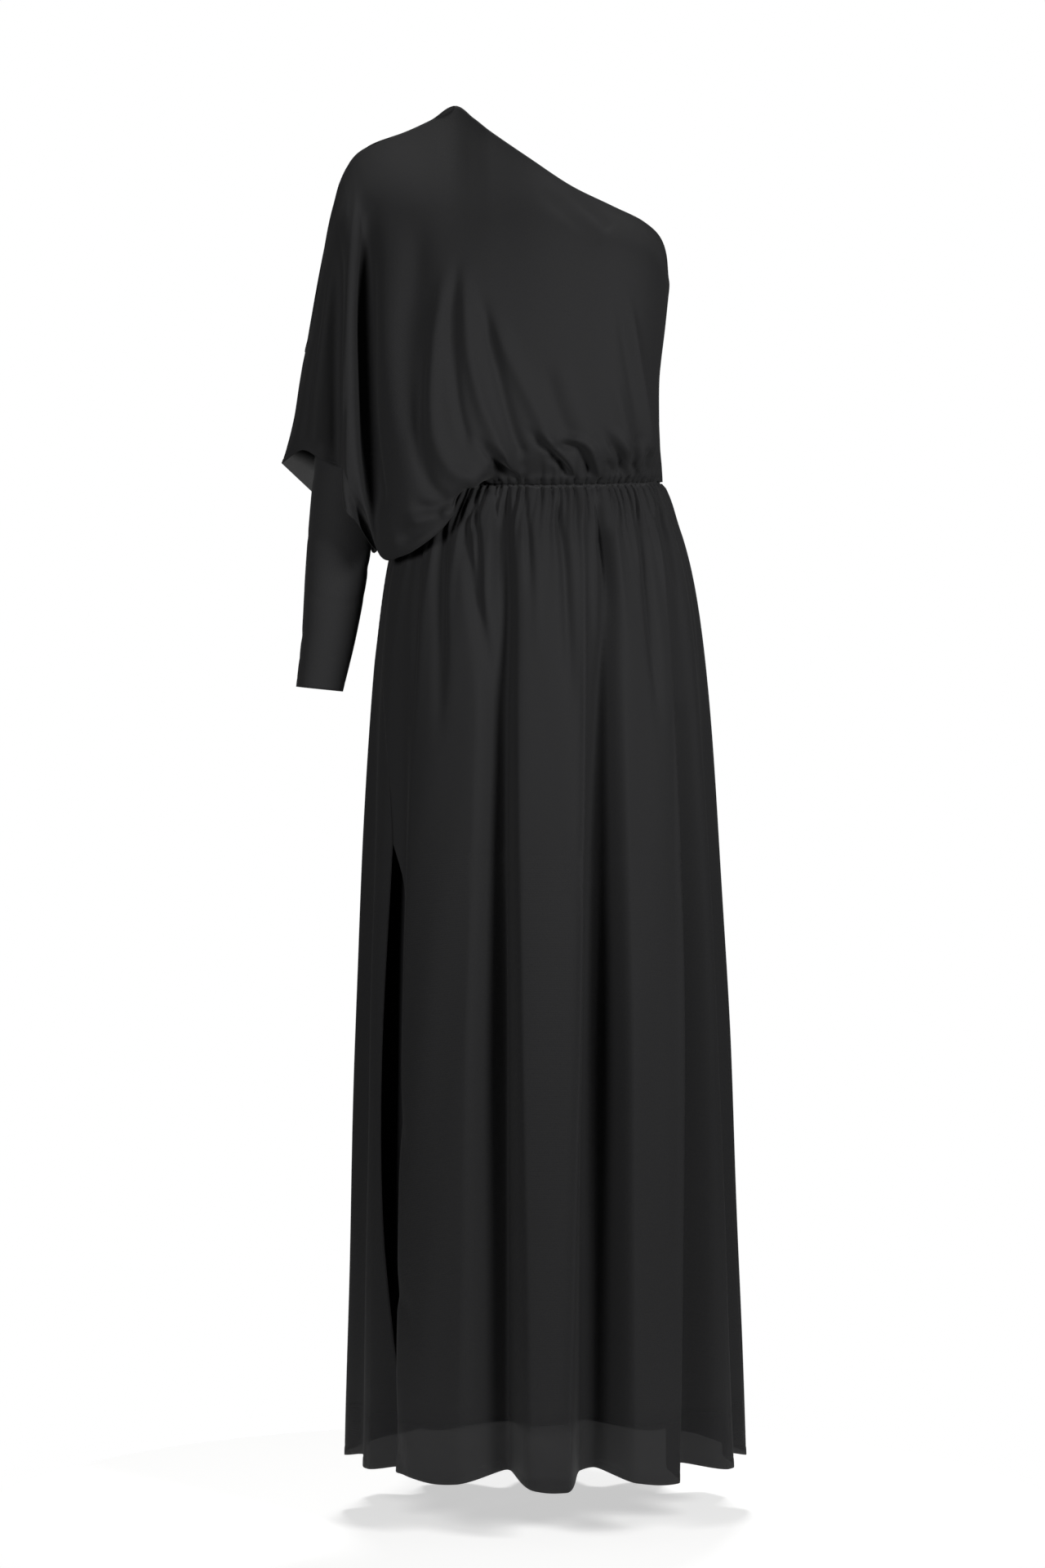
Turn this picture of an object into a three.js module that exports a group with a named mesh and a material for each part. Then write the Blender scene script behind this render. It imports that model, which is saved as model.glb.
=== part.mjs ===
// A floor-length one-shoulder dress, filled out as it hangs when it is worn, with no wearer.
// Sizes are in millimetres. +X is to the wearer's left, -Y to the front and +Z up. Heights are
// measured from the level of the hem, and the finished group is lowered so that its origin lies
// under the shoulder seam, where the wearer's shoulder carries the dress.
import * as THREE from "three";

const wall = 1.6; // thickness of every cloth wall
const seamGap = 0.3; // clear space between two pieces that are sewn together
const waistHeight = 1083;
const waistHalfWidth = 132;
const waistHalfFront = 98; // from the side seams to the centre front
const waistHalfBack = 100;
const casingHeight = 6; // narrow elastic casing that joins bodice and skirt
const slitTop = 390; // drop from the waist to the top of the side slit
const skirtLength = 1064; // drop from the waist to the hem
const liningLength = 1000; // drop from the waist to the lining's edge
const waistDip = 7; // how much lower the waist lies at the centre front
const shoulderPoint = [-150, 0, 1471]; // on the shoulder seam, half-way to the sleeve
const black = new THREE.Color(0x161617);

const radians = THREE.MathUtils.degToRad;
const clamp01 = (t) => THREE.MathUtils.clamp(t, 0, 1);
const ease = (t) => THREE.MathUtils.smoothstep(t, 0, 1);
const fade = (t) => 1 - ease(t);
const mix = THREE.MathUtils.lerp;

// Rows of a table as objects, by the names of their columns.
const table = (columns, rows) =>
  rows.map((row) => Object.fromEntries(columns.map((name, k) => [name, row[k]])));

// A smooth curve through values at uneven knots. A value is a list of numbers.
function curveThrough(knots, values) {
  const last = knots.length - 1;
  const slope = (i, k) => {
    const before = Math.max(i - 1, 0);
    const after = Math.min(i + 1, last);
    return (values[after][k] - values[before][k]) / (knots[after] - knots[before]);
  };
  return (t) => {
    let i = 0;
    while (i < last - 1 && t > knots[i + 1]) i += 1;
    const span = knots[i + 1] - knots[i];
    const s = (t - knots[i]) / span;
    const s2 = s * s;
    const s3 = s2 * s;
    return values[i].map(
      (value, k) =>
        (2 * s3 - 3 * s2 + 1) * value +
        (s3 - 2 * s2 + s) * span * slope(i, k) +
        (3 * s2 - 2 * s3) * values[i + 1][k] +
        (s3 - s2) * span * slope(i + 1, k),
    );
  };
}

// A closed wall from a grid of outer points and a grid of inner points.
function clothWall(outer, inner) {
  const rows = outer.length;
  const columns = outer[0].length;
  const positions = [...outer.flat(), ...inner.flat()].flatMap((p) => [p.x, p.y, p.z]);
  const last = columns - 1;
  const faces = [];
  const at = (layer, r, c) => layer * rows * columns + r * columns + c;
  const quad = (a, b, c, d) => faces.push(a, b, c, a, c, d);
  for (let r = 0; r < rows - 1; r += 1) {
    for (let c = 0; c < columns - 1; c += 1) {
      quad(at(0, r, c), at(0, r + 1, c), at(0, r + 1, c + 1), at(0, r, c + 1));
      quad(at(1, r, c), at(1, r, c + 1), at(1, r + 1, c + 1), at(1, r + 1, c));
    }
  }
  for (let c = 0; c < columns - 1; c += 1) {
    quad(at(0, 0, c), at(0, 0, c + 1), at(1, 0, c + 1), at(1, 0, c));
    quad(at(0, rows - 1, c + 1), at(0, rows - 1, c), at(1, rows - 1, c), at(1, rows - 1, c + 1));
  }
  for (let r = 0; r < rows - 1; r += 1) {
    quad(at(0, r + 1, 0), at(0, r, 0), at(1, r, 0), at(1, r + 1, 0));
    quad(at(0, r + 1, last), at(1, r + 1, last), at(1, r, last), at(0, r, last));
  }
  const geometry = new THREE.BufferGeometry();
  geometry.setAttribute("position", new THREE.Float32BufferAttribute(positions, 3));
  geometry.setIndex(faces);
  return geometry;
}

// A closed tube wall from rings of outer points and rings of inner points.
function tubeWall(outer, inner) {
  const rings = outer.length;
  const sides = outer[0].length;
  const positions = [...outer.flat(), ...inner.flat()].flatMap((p) => [p.x, p.y, p.z]);
  const faces = [];
  const at = (layer, r, c) => layer * rings * sides + r * sides + (c % sides);
  const quad = (a, b, c, d) => faces.push(a, b, c, a, c, d);
  for (let c = 0; c < sides; c += 1) {
    for (let r = 0; r < rings - 1; r += 1) {
      quad(at(0, r, c), at(0, r + 1, c), at(0, r + 1, c + 1), at(0, r, c + 1));
      quad(at(1, r, c), at(1, r, c + 1), at(1, r + 1, c + 1), at(1, r + 1, c));
    }
    quad(at(0, 0, c), at(0, 0, c + 1), at(1, 0, c + 1), at(1, 0, c));
    quad(at(0, rings - 1, c + 1), at(0, rings - 1, c), at(1, rings - 1, c), at(1, rings - 1, c + 1));
  }
  const geometry = new THREE.BufferGeometry();
  geometry.setAttribute("position", new THREE.Float32BufferAttribute(positions, 3));
  geometry.setIndex(faces);
  return geometry;
}

// The outward direction of a grid's surface at each point, for rows that run down the garment and
// columns that run to the wearer's right. "side" is 1 on the front of the dress and -1 on the back.
function outwardGrid(grid, side) {
  const rows = grid.length;
  const columns = grid[0].length;
  return grid.map((row, r) =>
    row.map((point, c) => {
      const down = new THREE.Vector3().subVectors(
        grid[Math.min(r + 1, rows - 1)][c],
        grid[Math.max(r - 1, 0)][c],
      );
      const across = new THREE.Vector3().subVectors(
        row[Math.min(c + 1, columns - 1)],
        row[Math.max(c - 1, 0)],
      );
      return down.cross(across).multiplyScalar(-side).normalize();
    }),
  );
}

function movedIn(grid, outward, depth) {
  return grid.map((row, r) => row.map((p, c) => p.clone().addScaledVector(outward[r][c], -depth)));
}

// A ring round the body. An angle of 0 is the centre front, 90 the wearer's left side and 180 the back.
function ringPoint(angle, halfWidth, halfFront, halfBack, height) {
  const a = radians(angle);
  const halfDepth = Math.cos(a) > 0 ? halfFront : halfBack;
  return new THREE.Vector3(halfWidth * Math.sin(a), -halfDepth * Math.cos(a), height);
}

const dipAt = (angle) => waistDip * Math.max(Math.cos(radians(angle)), 0) ** 2;
const footHeight = (angle) => waistHeight - dipAt(angle) + casingHeight / 2 + seamGap;

// A foot of the bodice on the waist. "clear" keeps it outside the casing where the cloth of the
// bodice hangs over the waist and comes back up to it.
function waistFoot(angle, clear = 0) {
  return ringPoint(
    angle,
    waistHalfWidth + clear,
    waistHalfFront + clear,
    waistHalfBack + clear,
    footHeight(angle),
  ).toArray();
}

// Skirt. Its ring swells over the hips and then flares slowly to the hem.
const hip = { drop: 75, side: 46, front: 58, back: 70 };
const flare = { side: 0.031, front: 0.03, back: 0.028 };
const lean = { hip: -5, hem: 2, reach: 50 }; // the skirt's middle, towards the wearer's left

function skirtRing(drop) {
  const swell = 1 - Math.exp(-drop / hip.drop);
  return {
    halfWidth: waistHalfWidth + hip.side * swell + flare.side * drop,
    halfFront: waistHalfFront + hip.front * swell + flare.front * drop,
    halfBack: waistHalfBack + hip.back * swell + flare.back * drop,
    middle: mix(lean.hip, lean.hem, drop / skirtLength) * ease(drop / lean.reach),
  };
}

// A point of the skirt or its lining: "lift" moves it out from the ring, and the waist's dip at
// the front fades out down to the hem.
function hangingPoint(angle, drop, lift, sag = 0) {
  const ring = skirtRing(drop);
  const dip = dipAt(angle) * (1 - drop / skirtLength);
  const height = waistHeight - casingHeight / 2 - seamGap - dip - drop - sag;
  const point = ringPoint(angle, ring.halfWidth, ring.halfFront, ring.halfBack, height);
  point.x += ring.middle + lift * Math.sin(radians(angle));
  point.y -= lift * Math.cos(radians(angle));
  return point;
}

// Hanging folds of the skirt, one row for each crest, round from the slit by the front and back.
// "top" and "hem" are the crest's angles at the hip and at the hem, "depth" is its height there.
const skirtFolds = [
  { top: -66, hem: -62, depth: 8 },
  { top: -34, hem: -31, depth: 15 },
  { top: 2, hem: 2, depth: 24 },
  { top: 37, hem: 35, depth: 19 },
  { top: 65, hem: 65, depth: 12 },
  { top: 95, hem: 93, depth: 12 },
  { top: 123, hem: 122, depth: 16 },
  { top: 151, hem: 150, depth: 20 },
  { top: 180, hem: 181, depth: 22 },
  { top: 209, hem: 210, depth: 19 },
  { top: 238, hem: 239, depth: 15 },
  { top: 266, hem: 268, depth: 10 },
];
const foldSharpness = 1.5;
const foldForming = { early: 0.12, earlyReach: 60, lateStart: 40, lateReach: 620 }; // by the drop

// Height of the broad folds at an angle and a drop from the waist.
function broadFold(angle, drop) {
  const t = clamp01(drop / skirtLength);
  const crest = (i) => {
    const row = skirtFolds[i % skirtFolds.length];
    const turn = i >= skirtFolds.length ? 360 : 0;
    return { angle: mix(row.top, row.hem, t) + turn, depth: row.depth };
  };
  const first = crest(0).angle;
  const turned = THREE.MathUtils.euclideanModulo(angle - first, 360) + first;
  let i = 0;
  while (i < skirtFolds.length - 1 && turned > crest(i + 1).angle) i += 1;
  const here = crest(i);
  const next = crest(i + 1);
  const share = (turned - here.angle) / (next.angle - here.angle);
  const wave = Math.tanh(foldSharpness * Math.cos(2 * Math.PI * share)) / Math.tanh(foldSharpness);
  const depth = mix(here.depth, next.depth, ease(clamp01(share)));
  const early = foldForming.early * ease(drop / foldForming.earlyReach);
  const late = (1 - foldForming.early) * ease((drop - foldForming.lateStart) / foldForming.lateReach);
  return depth * (early + late) * wave;
}

// Small gathers at the waist, and the medium folds that they run into. The medium folds differ in
// height and drift away from an even spacing.
const gathers = { count: 72, height: 2.1, reach: 70 };
const ripples = { count: 36, height: 3.4, start: 30, reach: 260 };
const unevenness = { mean: 0.65, swing: 0.35, waves: 5, phase: 1.3 };
const drifts = table(["swing", "waves", "phase"], [
  [0.05, 3, 0.7],
  [0.03, 7, 2.1],
]);

function gatherHeight(angle, drop) {
  const a = radians(angle);
  const drift = drifts.reduce((sum, row) => sum + row.swing * Math.sin(row.waves * a + row.phase), 0);
  const small = gathers.height * Math.exp(-drop / gathers.reach) * Math.cos(gathers.count * a);
  const grown = ease(drop / ripples.start) * Math.exp(-Math.max(drop - ripples.start, 0) / ripples.reach);
  const uneven = unevenness.mean + unevenness.swing * Math.sin(unevenness.waves * a + unevenness.phase);
  return small + ripples.height * grown * uneven * Math.cos(ripples.count * (a + drift));
}

// The hem hangs a little lower on a crest than in a hollow, by this share of the fold's height.
const hemSag = { share: 0.35, start: 900, reach: 180 };

function skirtPoint(angle, drop) {
  const sag = ease((drop - hemSag.start) / hemSag.reach) * hemSag.share * broadFold(angle, skirtLength);
  return hangingPoint(angle, drop, broadFold(angle, drop) + gatherHeight(angle, drop), sag);
}

// The side seam on the wearer's right drifts to the front, and opens below into the slit. Each
// curve gives an angle for a drop.
const slitSeam = curveThrough([0, 97, 240, slitTop, skirtLength], [[-90], [-84], [-66], [-58], [-58]]);
const slitFrontEdge = curveThrough(
  [slitTop, 440, 500, 592, 727, 952, skirtLength],
  [[-58], [-53.7], [-51.9], [-51.2], [-49.8], [-49.6], [-51.5]],
);
const slitBackEdge = curveThrough([slitTop, 600, 800, skirtLength], [[-58], [-59.5], [-58], [-52.5]]);

const frontEdge = (drop) => (drop > slitTop ? slitFrontEdge(drop) : slitSeam(drop))[0];
const backEdge = (drop) => 360 + (drop > slitTop ? slitBackEdge(drop) : slitSeam(drop))[0];
const leftSeam = () => 90;

// How a hanging surface runs at an angle and a drop: one degree across, and the outward direction.
const runStep = { angle: 0.5, drop: 4 }; // to either side

function hangingRun(pointAt, angle, drop) {
  const across = pointAt(angle + runStep.angle, drop).sub(pointAt(angle - runStep.angle, drop));
  const above = Math.max(drop - runStep.drop, 0);
  const along = pointAt(angle, drop + runStep.drop).sub(pointAt(angle, above));
  return { degree: across.length() / (2 * runStep.angle), outward: along.cross(across).normalize() };
}

// A panel of a hanging surface between two edges, each of which gives an angle for a drop. The
// ends of its wall face along the seam's own direction, so that two panels meet evenly.
function hangingPanel(pointAt, rows, columns, startEdge, endEdge) {
  const acrossRow = (start, end) =>
    Array.from({ length: columns + 1 }, (_, c) => mix(start, end, c / columns));
  const outer = rows.map((drop) => {
    const halfSeam = (angle) => seamGap / 2 / hangingRun(pointAt, angle, drop).degree;
    const start = startEdge(drop) + halfSeam(startEdge(drop));
    const end = endEdge(drop) - halfSeam(endEdge(drop));
    return acrossRow(start, end).map((angle) => pointAt(angle, drop));
  });
  const outward = rows.map((drop) =>
    acrossRow(startEdge(drop), endEdge(drop)).map((angle) => hangingRun(pointAt, angle, drop).outward),
  );
  outward[0].forEach((direction) => direction.setZ(0).normalize());
  return clothWall(outer, movedIn(outer, outward, wall));
}

const skirtRows = [0, 10, 30, 65, 120, 210, slitTop, 560, 740, 920, skirtLength];

// Lining of the skirt, plainer and shorter than the outer cloth and open at the same slit. Its
// clear room inside the skirt grows downwards, and it follows a share of the broad folds.
const lining = { clear: 0.7, follow: 0.45, rows: [0, 60, 160, slitTop, 600, 800, liningLength] };
const liningRoom = table(["room", "reach"], [
  [3.6, 20],
  [7, 60],
  [14, 700],
]);

function liningPoint(angle, drop) {
  const grown = liningRoom.reduce((sum, row) => sum + row.room * ease(drop / row.reach), 0);
  const room = gathers.height + wall + lining.clear + grown;
  return hangingPoint(angle, drop, lining.follow * broadFold(angle, drop) - room);
}

// Elastic casing at the waist, between the bodice and the skirt.
const casingWall = 2.4;
const casingSides = 72;

function waistCasing() {
  const ring = (height, inset) =>
    Array.from({ length: casingSides }, (_, c) => (360 * c) / casingSides).map((angle) =>
      ringPoint(
        angle,
        waistHalfWidth - inset,
        waistHalfFront - inset,
        waistHalfBack - inset,
        height - dipAt(angle),
      ),
    );
  const heights = [waistHeight + casingHeight / 2, waistHeight - casingHeight / 2];
  return tubeWall(
    heights.map((height) => ring(height, 0)),
    heights.map((height) => ring(height, casingWall)),
  );
}

// Bodice. Each row is one line down the cloth, from the wearer's left side seam (across 0) to the
// outer fold of the wide sleeve (across 1). It hangs from "top", on the neckline, the shoulder
// seam or the fold over the arm, to "foot", on the waist, the underarm seam or the sleeve's hem.
const levels = [0, 0.25, 0.55, 0.86, 1]; // of top, chest, rib, low and foot
const lineColumns = ["across", "top", "chest", "rib", "low", "foot"];
const footClear = wall + 0.6; // of the feet that come up to the waist from below
const neckPoint = [-96, 0, 1498]; // where the neckline meets the shoulder seam
const lowFoot = (angle) => waistFoot(angle, footClear);
const underarmFoot = lowFoot(-90); // lower end of the underarm seam
const innerCorner = [-182, 0, 1009]; // where the sleeve's hem meets the underarm seam
const outerCorner = [-288, 0, 1105]; // where the sleeve's hem meets the fold over the arm
const frontLines = table(lineColumns, [
  [0, [141, 0, 1305], [136, 0, 1258], [128, 0, 1190], [130, 0, 1122], waistFoot(90)],
  [0.09, [131, -45, 1344], [133, -58, 1290], [125, -62, 1200], [124, -58, 1122], waistFoot(62)],
  [0.17, [110, -76, 1363], [115, -94, 1310], [106, -98, 1205], [103, -92, 1122], waistFoot(44)],
  [0.25, [74, -94, 1379], [80, -118, 1325], [74, -121, 1210], [68, -113, 1120], waistFoot(27)],
  [0.33, [30, -99, 1400], [38, -126, 1338], [34, -130, 1215], [30, -120, 1118], waistFoot(12)],
  [0.41, [-14, -92, 1430], [-6, -126, 1350], [-10, -132, 1220], [-8, -124, 1118], waistFoot(-3)],
  [0.48, [-58, -60, 1464], [-54, -112, 1362], [-56, -130, 1232], [-44, -128, 1116], waistFoot(-18)],
  [0.51, [-77, -33, 1482], [-76, -101, 1368], [-79, -127, 1236], [-64, -131, 1096], lowFoot(-25)],
  [0.54, neckPoint, [-98, -88, 1375], [-102, -122, 1240], [-80, -130, 1075], lowFoot(-33)],
  [0.57, [-124, 0, 1483], [-121, -78, 1379], [-126, -114, 1237], [-92, -128, 1062], lowFoot(-41)],
  [0.6, shoulderPoint, [-142, -70, 1380], [-146, -104, 1235], [-106, -124, 1036], lowFoot(-50)],
  [0.66, [-182, 0, 1459], [-168, -58, 1378], [-172, -88, 1225], [-131, -112, 1014], lowFoot(-70)],
  [0.71, [-200, 0, 1450], [-186, -48, 1375], [-186, -62, 1215], [-156, -88, 1001], underarmFoot],
  [0.76, [-210, 0, 1441], [-198, -44, 1368], [-197, -52, 1200], [-178, -66, 1004], [-168, 0, 1046]],
  [0.8, [-217, 0, 1430], [-206, -54, 1350], [-206, -76, 1190], [-196, -84, 1056], innerCorner],
  [0.84, [-222, 0, 1420], [-214, -56, 1340], [-215, -84, 1190], [-212, -88, 1080], [-203, -82, 1038]],
  [0.87, [-226, 0, 1408], [-221, -48, 1330], [-221, -78, 1190], [-219, -85, 1090], [-216.5, -84, 1053]],
  [0.9, [-230, 0, 1394], [-226, -34, 1320], [-224, -38, 1190], [-221, -36, 1120], [-219.5, -34, 1095]],
  [0.94, [-238, 0, 1360], [-240, -28, 1290], [-242, -34, 1190], [-243, -35, 1135], [-243, -34, 1107]],
  [0.97, [-250, 0, 1290], [-254, -20, 1235], [-260, -26, 1175], [-263, -27, 1140], [-264, -25, 1118]],
  [1, [-262, 0, 1228], [-268, 0, 1192], [-274, 0, 1156], [-283, 0, 1120], outerCorner],
]);
const backLines = table(lineColumns, [
  [0, [141, 0, 1305], [136, 0, 1258], [128, 0, 1190], [130, 0, 1122], waistFoot(90)],
  [0.1, [132, 42, 1343], [132, 56, 1288], [125, 62, 1200], [124, 60, 1122], waistFoot(118)],
  [0.2, [106, 78, 1366], [109, 94, 1302], [103, 100, 1205], [98, 96, 1122], waistFoot(140)],
  [0.3, [58, 97, 1395], [62, 112, 1322], [58, 118, 1212], [52, 113, 1120], waistFoot(160)],
  [0.4, [4, 96, 1426], [8, 116, 1338], [6, 122, 1218], [4, 118, 1120], waistFoot(179)],
  [0.5, [-50, 66, 1463], [-48, 106, 1356], [-50, 120, 1230], [-46, 118, 1118], waistFoot(199)],
  [0.57, neckPoint, [-98, 86, 1375], [-102, 114, 1240], [-86, 118, 1112], lowFoot(219)],
  [0.605, [-124, 0, 1483], [-122, 79, 1378], [-127, 111, 1238], [-104, 116, 1102], lowFoot(231)],
  [0.64, shoulderPoint, [-146, 72, 1380], [-152, 106, 1235], [-124, 112, 1090], lowFoot(243)],
  [0.71, [-190, 0, 1456], [-184, 62, 1372], [-190, 94, 1222], [-160, 94, 1068], underarmFoot],
  [0.78, [-212, 0, 1437], [-208, 56, 1350], [-214, 84, 1205], [-192, 78, 1060], innerCorner],
  [0.83, [-221, 0, 1422], [-219, 55, 1336], [-228, 82, 1197], [-214, 78, 1076], [-196, 52, 1021]],
  [0.88, [-229, 0, 1398], [-232, 50, 1318], [-242, 73, 1188], [-238, 70, 1100], [-224, 63, 1045]],
  [0.94, [-246, 0, 1318], [-252, 34, 1250], [-262, 52, 1170], [-266, 50, 1115], [-258, 42, 1077]],
  [1, [-262, 0, 1228], [-268, 0, 1192], [-274, 0, 1156], [-283, 0, 1120], outerCorner],
]);

// Soft folds on the front of the bodice as they are seen from the front: how far the cloth rises
// (or sinks, below 0), how wide the fold is on each side and its path of [x, height] points.
const bodiceFolds = table(["rise", "left", "right", "path"], [
  [9, 15, 12, [[-104, 1289], [-117, 1221], [-119, 1143], [-98, 1086], [-65, 1080]]],
  [-7, 9, 8, [[-99, 1289], [-97, 1221], [-92, 1162], [-81, 1114]]],
  [7, 11, 10, [[-86, 1280], [-81, 1211], [-61, 1143], [-30, 1092]]],
  [-6, 9, 9, [[-69, 1260], [-51, 1192], [-34, 1133], [-22, 1102]]],
  [5, 12, 12, [[-57, 1252], [-28, 1196], [-6, 1151], [11, 1110]]],
  [-7, 8, 8, [[-143, 1053], [-119, 1046], [-92, 1049], [-69, 1073]]],
  [-8, 16, 16, [[-141, 1387], [-140, 1309], [-143, 1221], [-137, 1123]]],
  [4, 9, 8, [[89, 1276], [101, 1211], [113, 1153], [121, 1104]]],
  [-3, 9, 12, [[-6, 1385], [29, 1354], [64, 1326]]],
]);

// The nearest place on a fold's path: how far along it, and on which side.
function placeOnPath(samples, x, z) {
  let best = { gap: Infinity };
  for (let i = 0; i < samples.length - 1; i += 1) {
    const [ax, az] = samples[i];
    const ex = samples[i + 1][0] - ax;
    const ez = samples[i + 1][1] - az;
    const t = clamp01(((x - ax) * ex + (z - az) * ez) / (ex * ex + ez * ez));
    const gap = Math.hypot(x - ax - t * ex, z - az - t * ez);
    const side = Math.sign(ex * (z - az) - ez * (x - ax));
    if (gap < best.gap) best = { gap, side, along: (i + t) / (samples.length - 1) };
  }
  return best;
}

const pathSteps = 12;
const sampledFolds = bodiceFolds.map((fold) => {
  const knots = fold.path.map((_, i) => i / (fold.path.length - 1));
  const curve = curveThrough(knots, fold.path);
  const samples = Array.from({ length: pathSteps + 1 }, (_, i) => curve(i / pathSteps));
  return { ...fold, samples };
});

// A fold rises over the first share of its path and sinks over the last, where some of it is left.
const foldEnds = { rise: 0.3, sink: 0.12, left: 0.15 };

function foldLift(x, z) {
  return sampledFolds.reduce((total, fold) => {
    const place = placeOnPath(fold.samples, x, z);
    const width = place.side > 0 ? fold.right : fold.left;
    const ends =
      ease(place.along / foldEnds.rise) * ease((1 - place.along) / foldEnds.sink + foldEnds.left);
    return total + fold.rise * ends * Math.exp(-((place.gap / width) ** 2));
  }, 0);
}

// Tucks where the elastic draws the bodice in. They grow down the lines from "start" to "full" and
// flatten at "foot". Across the panel they grow from the side seam and end "inner" short of the
// underarm seam's foot.
const tucks = {
  count: 20,
  height: 3.4,
  start: 0.72,
  full: 0.92,
  foot: 0.97,
  seam: 0.04,
  inner: 0.22,
  end: 0.12,
};
const foldLimits = { low: 0.86, lowFade: 0.08, top: 0.12, side: 0.05 }; // where the soft folds fade

const waistAngle = (point) =>
  THREE.MathUtils.radToDeg(Math.atan2(point.x / waistHalfWidth, -point.y / waistHalfFront));

// Moves a point outwards, where it needs it, until it clears the ring at a drop.
function clearOfRing(point, drop, clear) {
  const ring = skirtRing(drop);
  const halfDepth = (point.y < 0 ? ring.halfFront : ring.halfBack) + clear;
  const share = Math.hypot(point.x / (ring.halfWidth + clear), point.y / halfDepth);
  if (share < 1) point.set(point.x / share, point.y / share, point.z);
}

// Keeps what hangs below the casing's top clear of the casing and the skirt.
const overSkirt = { clear: 1.2, room: 7, reach: 30 };

function clearOfSkirt(point) {
  const drop = waistHeight - dipAt(waistAngle(point)) - point.z;
  const clear = wall + overSkirt.clear + overSkirt.room * ease(drop / overSkirt.reach);
  if (drop >= -casingHeight / 2) clearOfRing(point, Math.max(drop, 0), clear);
}

// Rows of cloth down the two panels, closer together where the cloth turns back up to the waist.
const frontRows = [
  0, 0.05, 0.1, 0.16, 0.22, 0.29, 0.36, 0.43, 0.5, 0.57, 0.64, 0.71, 0.77, 0.82, 0.86, 0.89, 0.92, 0.96, 1,
];
const backRows = [0, 0.06, 0.14, 0.24, 0.35, 0.46, 0.57, 0.68, 0.77, 0.84, 0.9, 0.95, 1];
const lowStart = 0.05; // how far before the neckline's end, across a panel, the low feet begin
const steepFoot = -0.4; // a foot's outward direction is more downward where cloth comes up to it

function bodicePanel(lines, columns, rows, side) {
  const knots = lines.map((line) => line.across);
  const alongLines = lines.map((line) =>
    curveThrough(levels, [line.top, line.chest, line.rib, line.low, line.foot]),
  );
  const neckAcross = lines.find((line) => line.top === neckPoint).across;
  const waistAcross = lines.find((line) => line.foot === underarmFoot).across;
  const lowAcross = neckAcross - lowStart;
  const cornerAcross = lines.find((line) => line.foot === innerCorner).across;
  const places = knots.slice(1).flatMap((end, i) => {
    const pieces = Math.max(1, Math.round((end - knots[i]) * columns));
    return Array.from({ length: pieces }, (_, c) => mix(knots[i], end, c / pieces));
  });
  places.push(1);
  const base = rows.map((level) => {
    const acrossRow = curveThrough(knots, alongLines.map((line) => line(level)));
    return places.map((across) => new THREE.Vector3(...acrossRow(across)));
  });
  const smooth = outwardGrid(base, side);
  const outer = base.map((row, r) =>
    row.map((point, c) => {
      const level = rows[r];
      const across = places[c];
      const grown = ease((level - tucks.start) / (tucks.full - tucks.start));
      const gathered = grown * fade((level - tucks.foot) / (1 - tucks.foot));
      const nearWaist = fade((across - waistAcross + tucks.inner) / tucks.end) * ease(across / tucks.seam);
      const tuck = tucks.height * Math.cos(2 * Math.PI * tucks.count * across) * gathered * nearWaist;
      const above = fade((level - foldLimits.low) / foldLimits.lowFade) * ease(level / foldLimits.top);
      const between = ease(across / foldLimits.side) * ease((1 - across) / foldLimits.side);
      const fold = side > 0 ? foldLift(point.x, point.z) * above * between : 0;
      const shaped = point.clone().addScaledVector(smooth[r][c], tuck + fold);
      clearOfSkirt(shaped);
      if (level === 1 && across <= waistAcross) {
        if (across > lowAcross) clearOfRing(shaped, 0, footClear);
        shaped.z = footHeight(waistAngle(shaped));
      }
      return shaped;
    }),
  );
  const outward = outwardGrid(outer, side);
  outer.forEach((row, r) =>
    row.forEach((point, c) => {
      const level = rows[r];
      const across = places[c];
      const onWaist = level === 1 && across < waistAcross;
      const onShoulder = level === 0 && across >= neckAcross;
      const onUnderarm = level === 1 && across >= waistAcross && across <= cornerAcross;
      if (onWaist && outward[r][c].z > steepFoot) outward[r][c].setZ(0).normalize();
      if (across > 0 && across < 1 && !onShoulder && !onUnderarm) return;
      outward[r][c].setY(0).normalize();
      point.y = (-side * seamGap) / 2;
    }),
  );
  return clothWall(outer, movedIn(outer, outward, wall));
}

// How many columns of cloth each panel is divided into.
const panelColumns = {
  bodiceFront: 60,
  bodiceBack: 40,
  skirtFront: 72,
  skirtBack: 64,
  liningFront: 30,
  liningBack: 28,
};
const liningPanel = (columns, start, end) => hangingPanel(liningPoint, lining.rows, columns, start, end);

function bodiceFront() {
  const geometry = bodicePanel(frontLines, panelColumns.bodiceFront, frontRows, 1);
  const order = geometry.getIndex().array;
  for (let i = 0; i < order.length; i += 3) [order[i + 1], order[i + 2]] = [order[i + 2], order[i + 1]];
  return geometry;
}

// Fitted sleeve under the wide one: rings from the armhole to the wrist. "tilt" leans a ring so
// that its outer side rises to the shoulder, and "peak" narrows it there.
const sleeveColumns = ["x", "y", "height", "halfWidth", "halfDepth", "tilt", "peak"];
const sleeveRings = table(sleeveColumns, [
  [-184, 0, 1384, 57.2, 34.6, 70, 0.56],
  [-186, 4, 1352, 45, 36, 42, 0.25],
  [-195, 11, 1280, 38, 37, 12, 0],
  [-206, 15, 1200, 37, 36, 0, 0],
  [-215, 16, 1115, 37, 35, 0, 0],
  [-223, 13, 1035, 36, 33, 2, 0],
  [-229, 8, 975, 34, 31, 4, 0],
  [-236, 1, 915, 30, 28, 5, 0],
  [-246, -6, 856, 26, 24, 6, 0],
]);

const sleeveSides = 20;
const sleeveSteps = 14;

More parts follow.
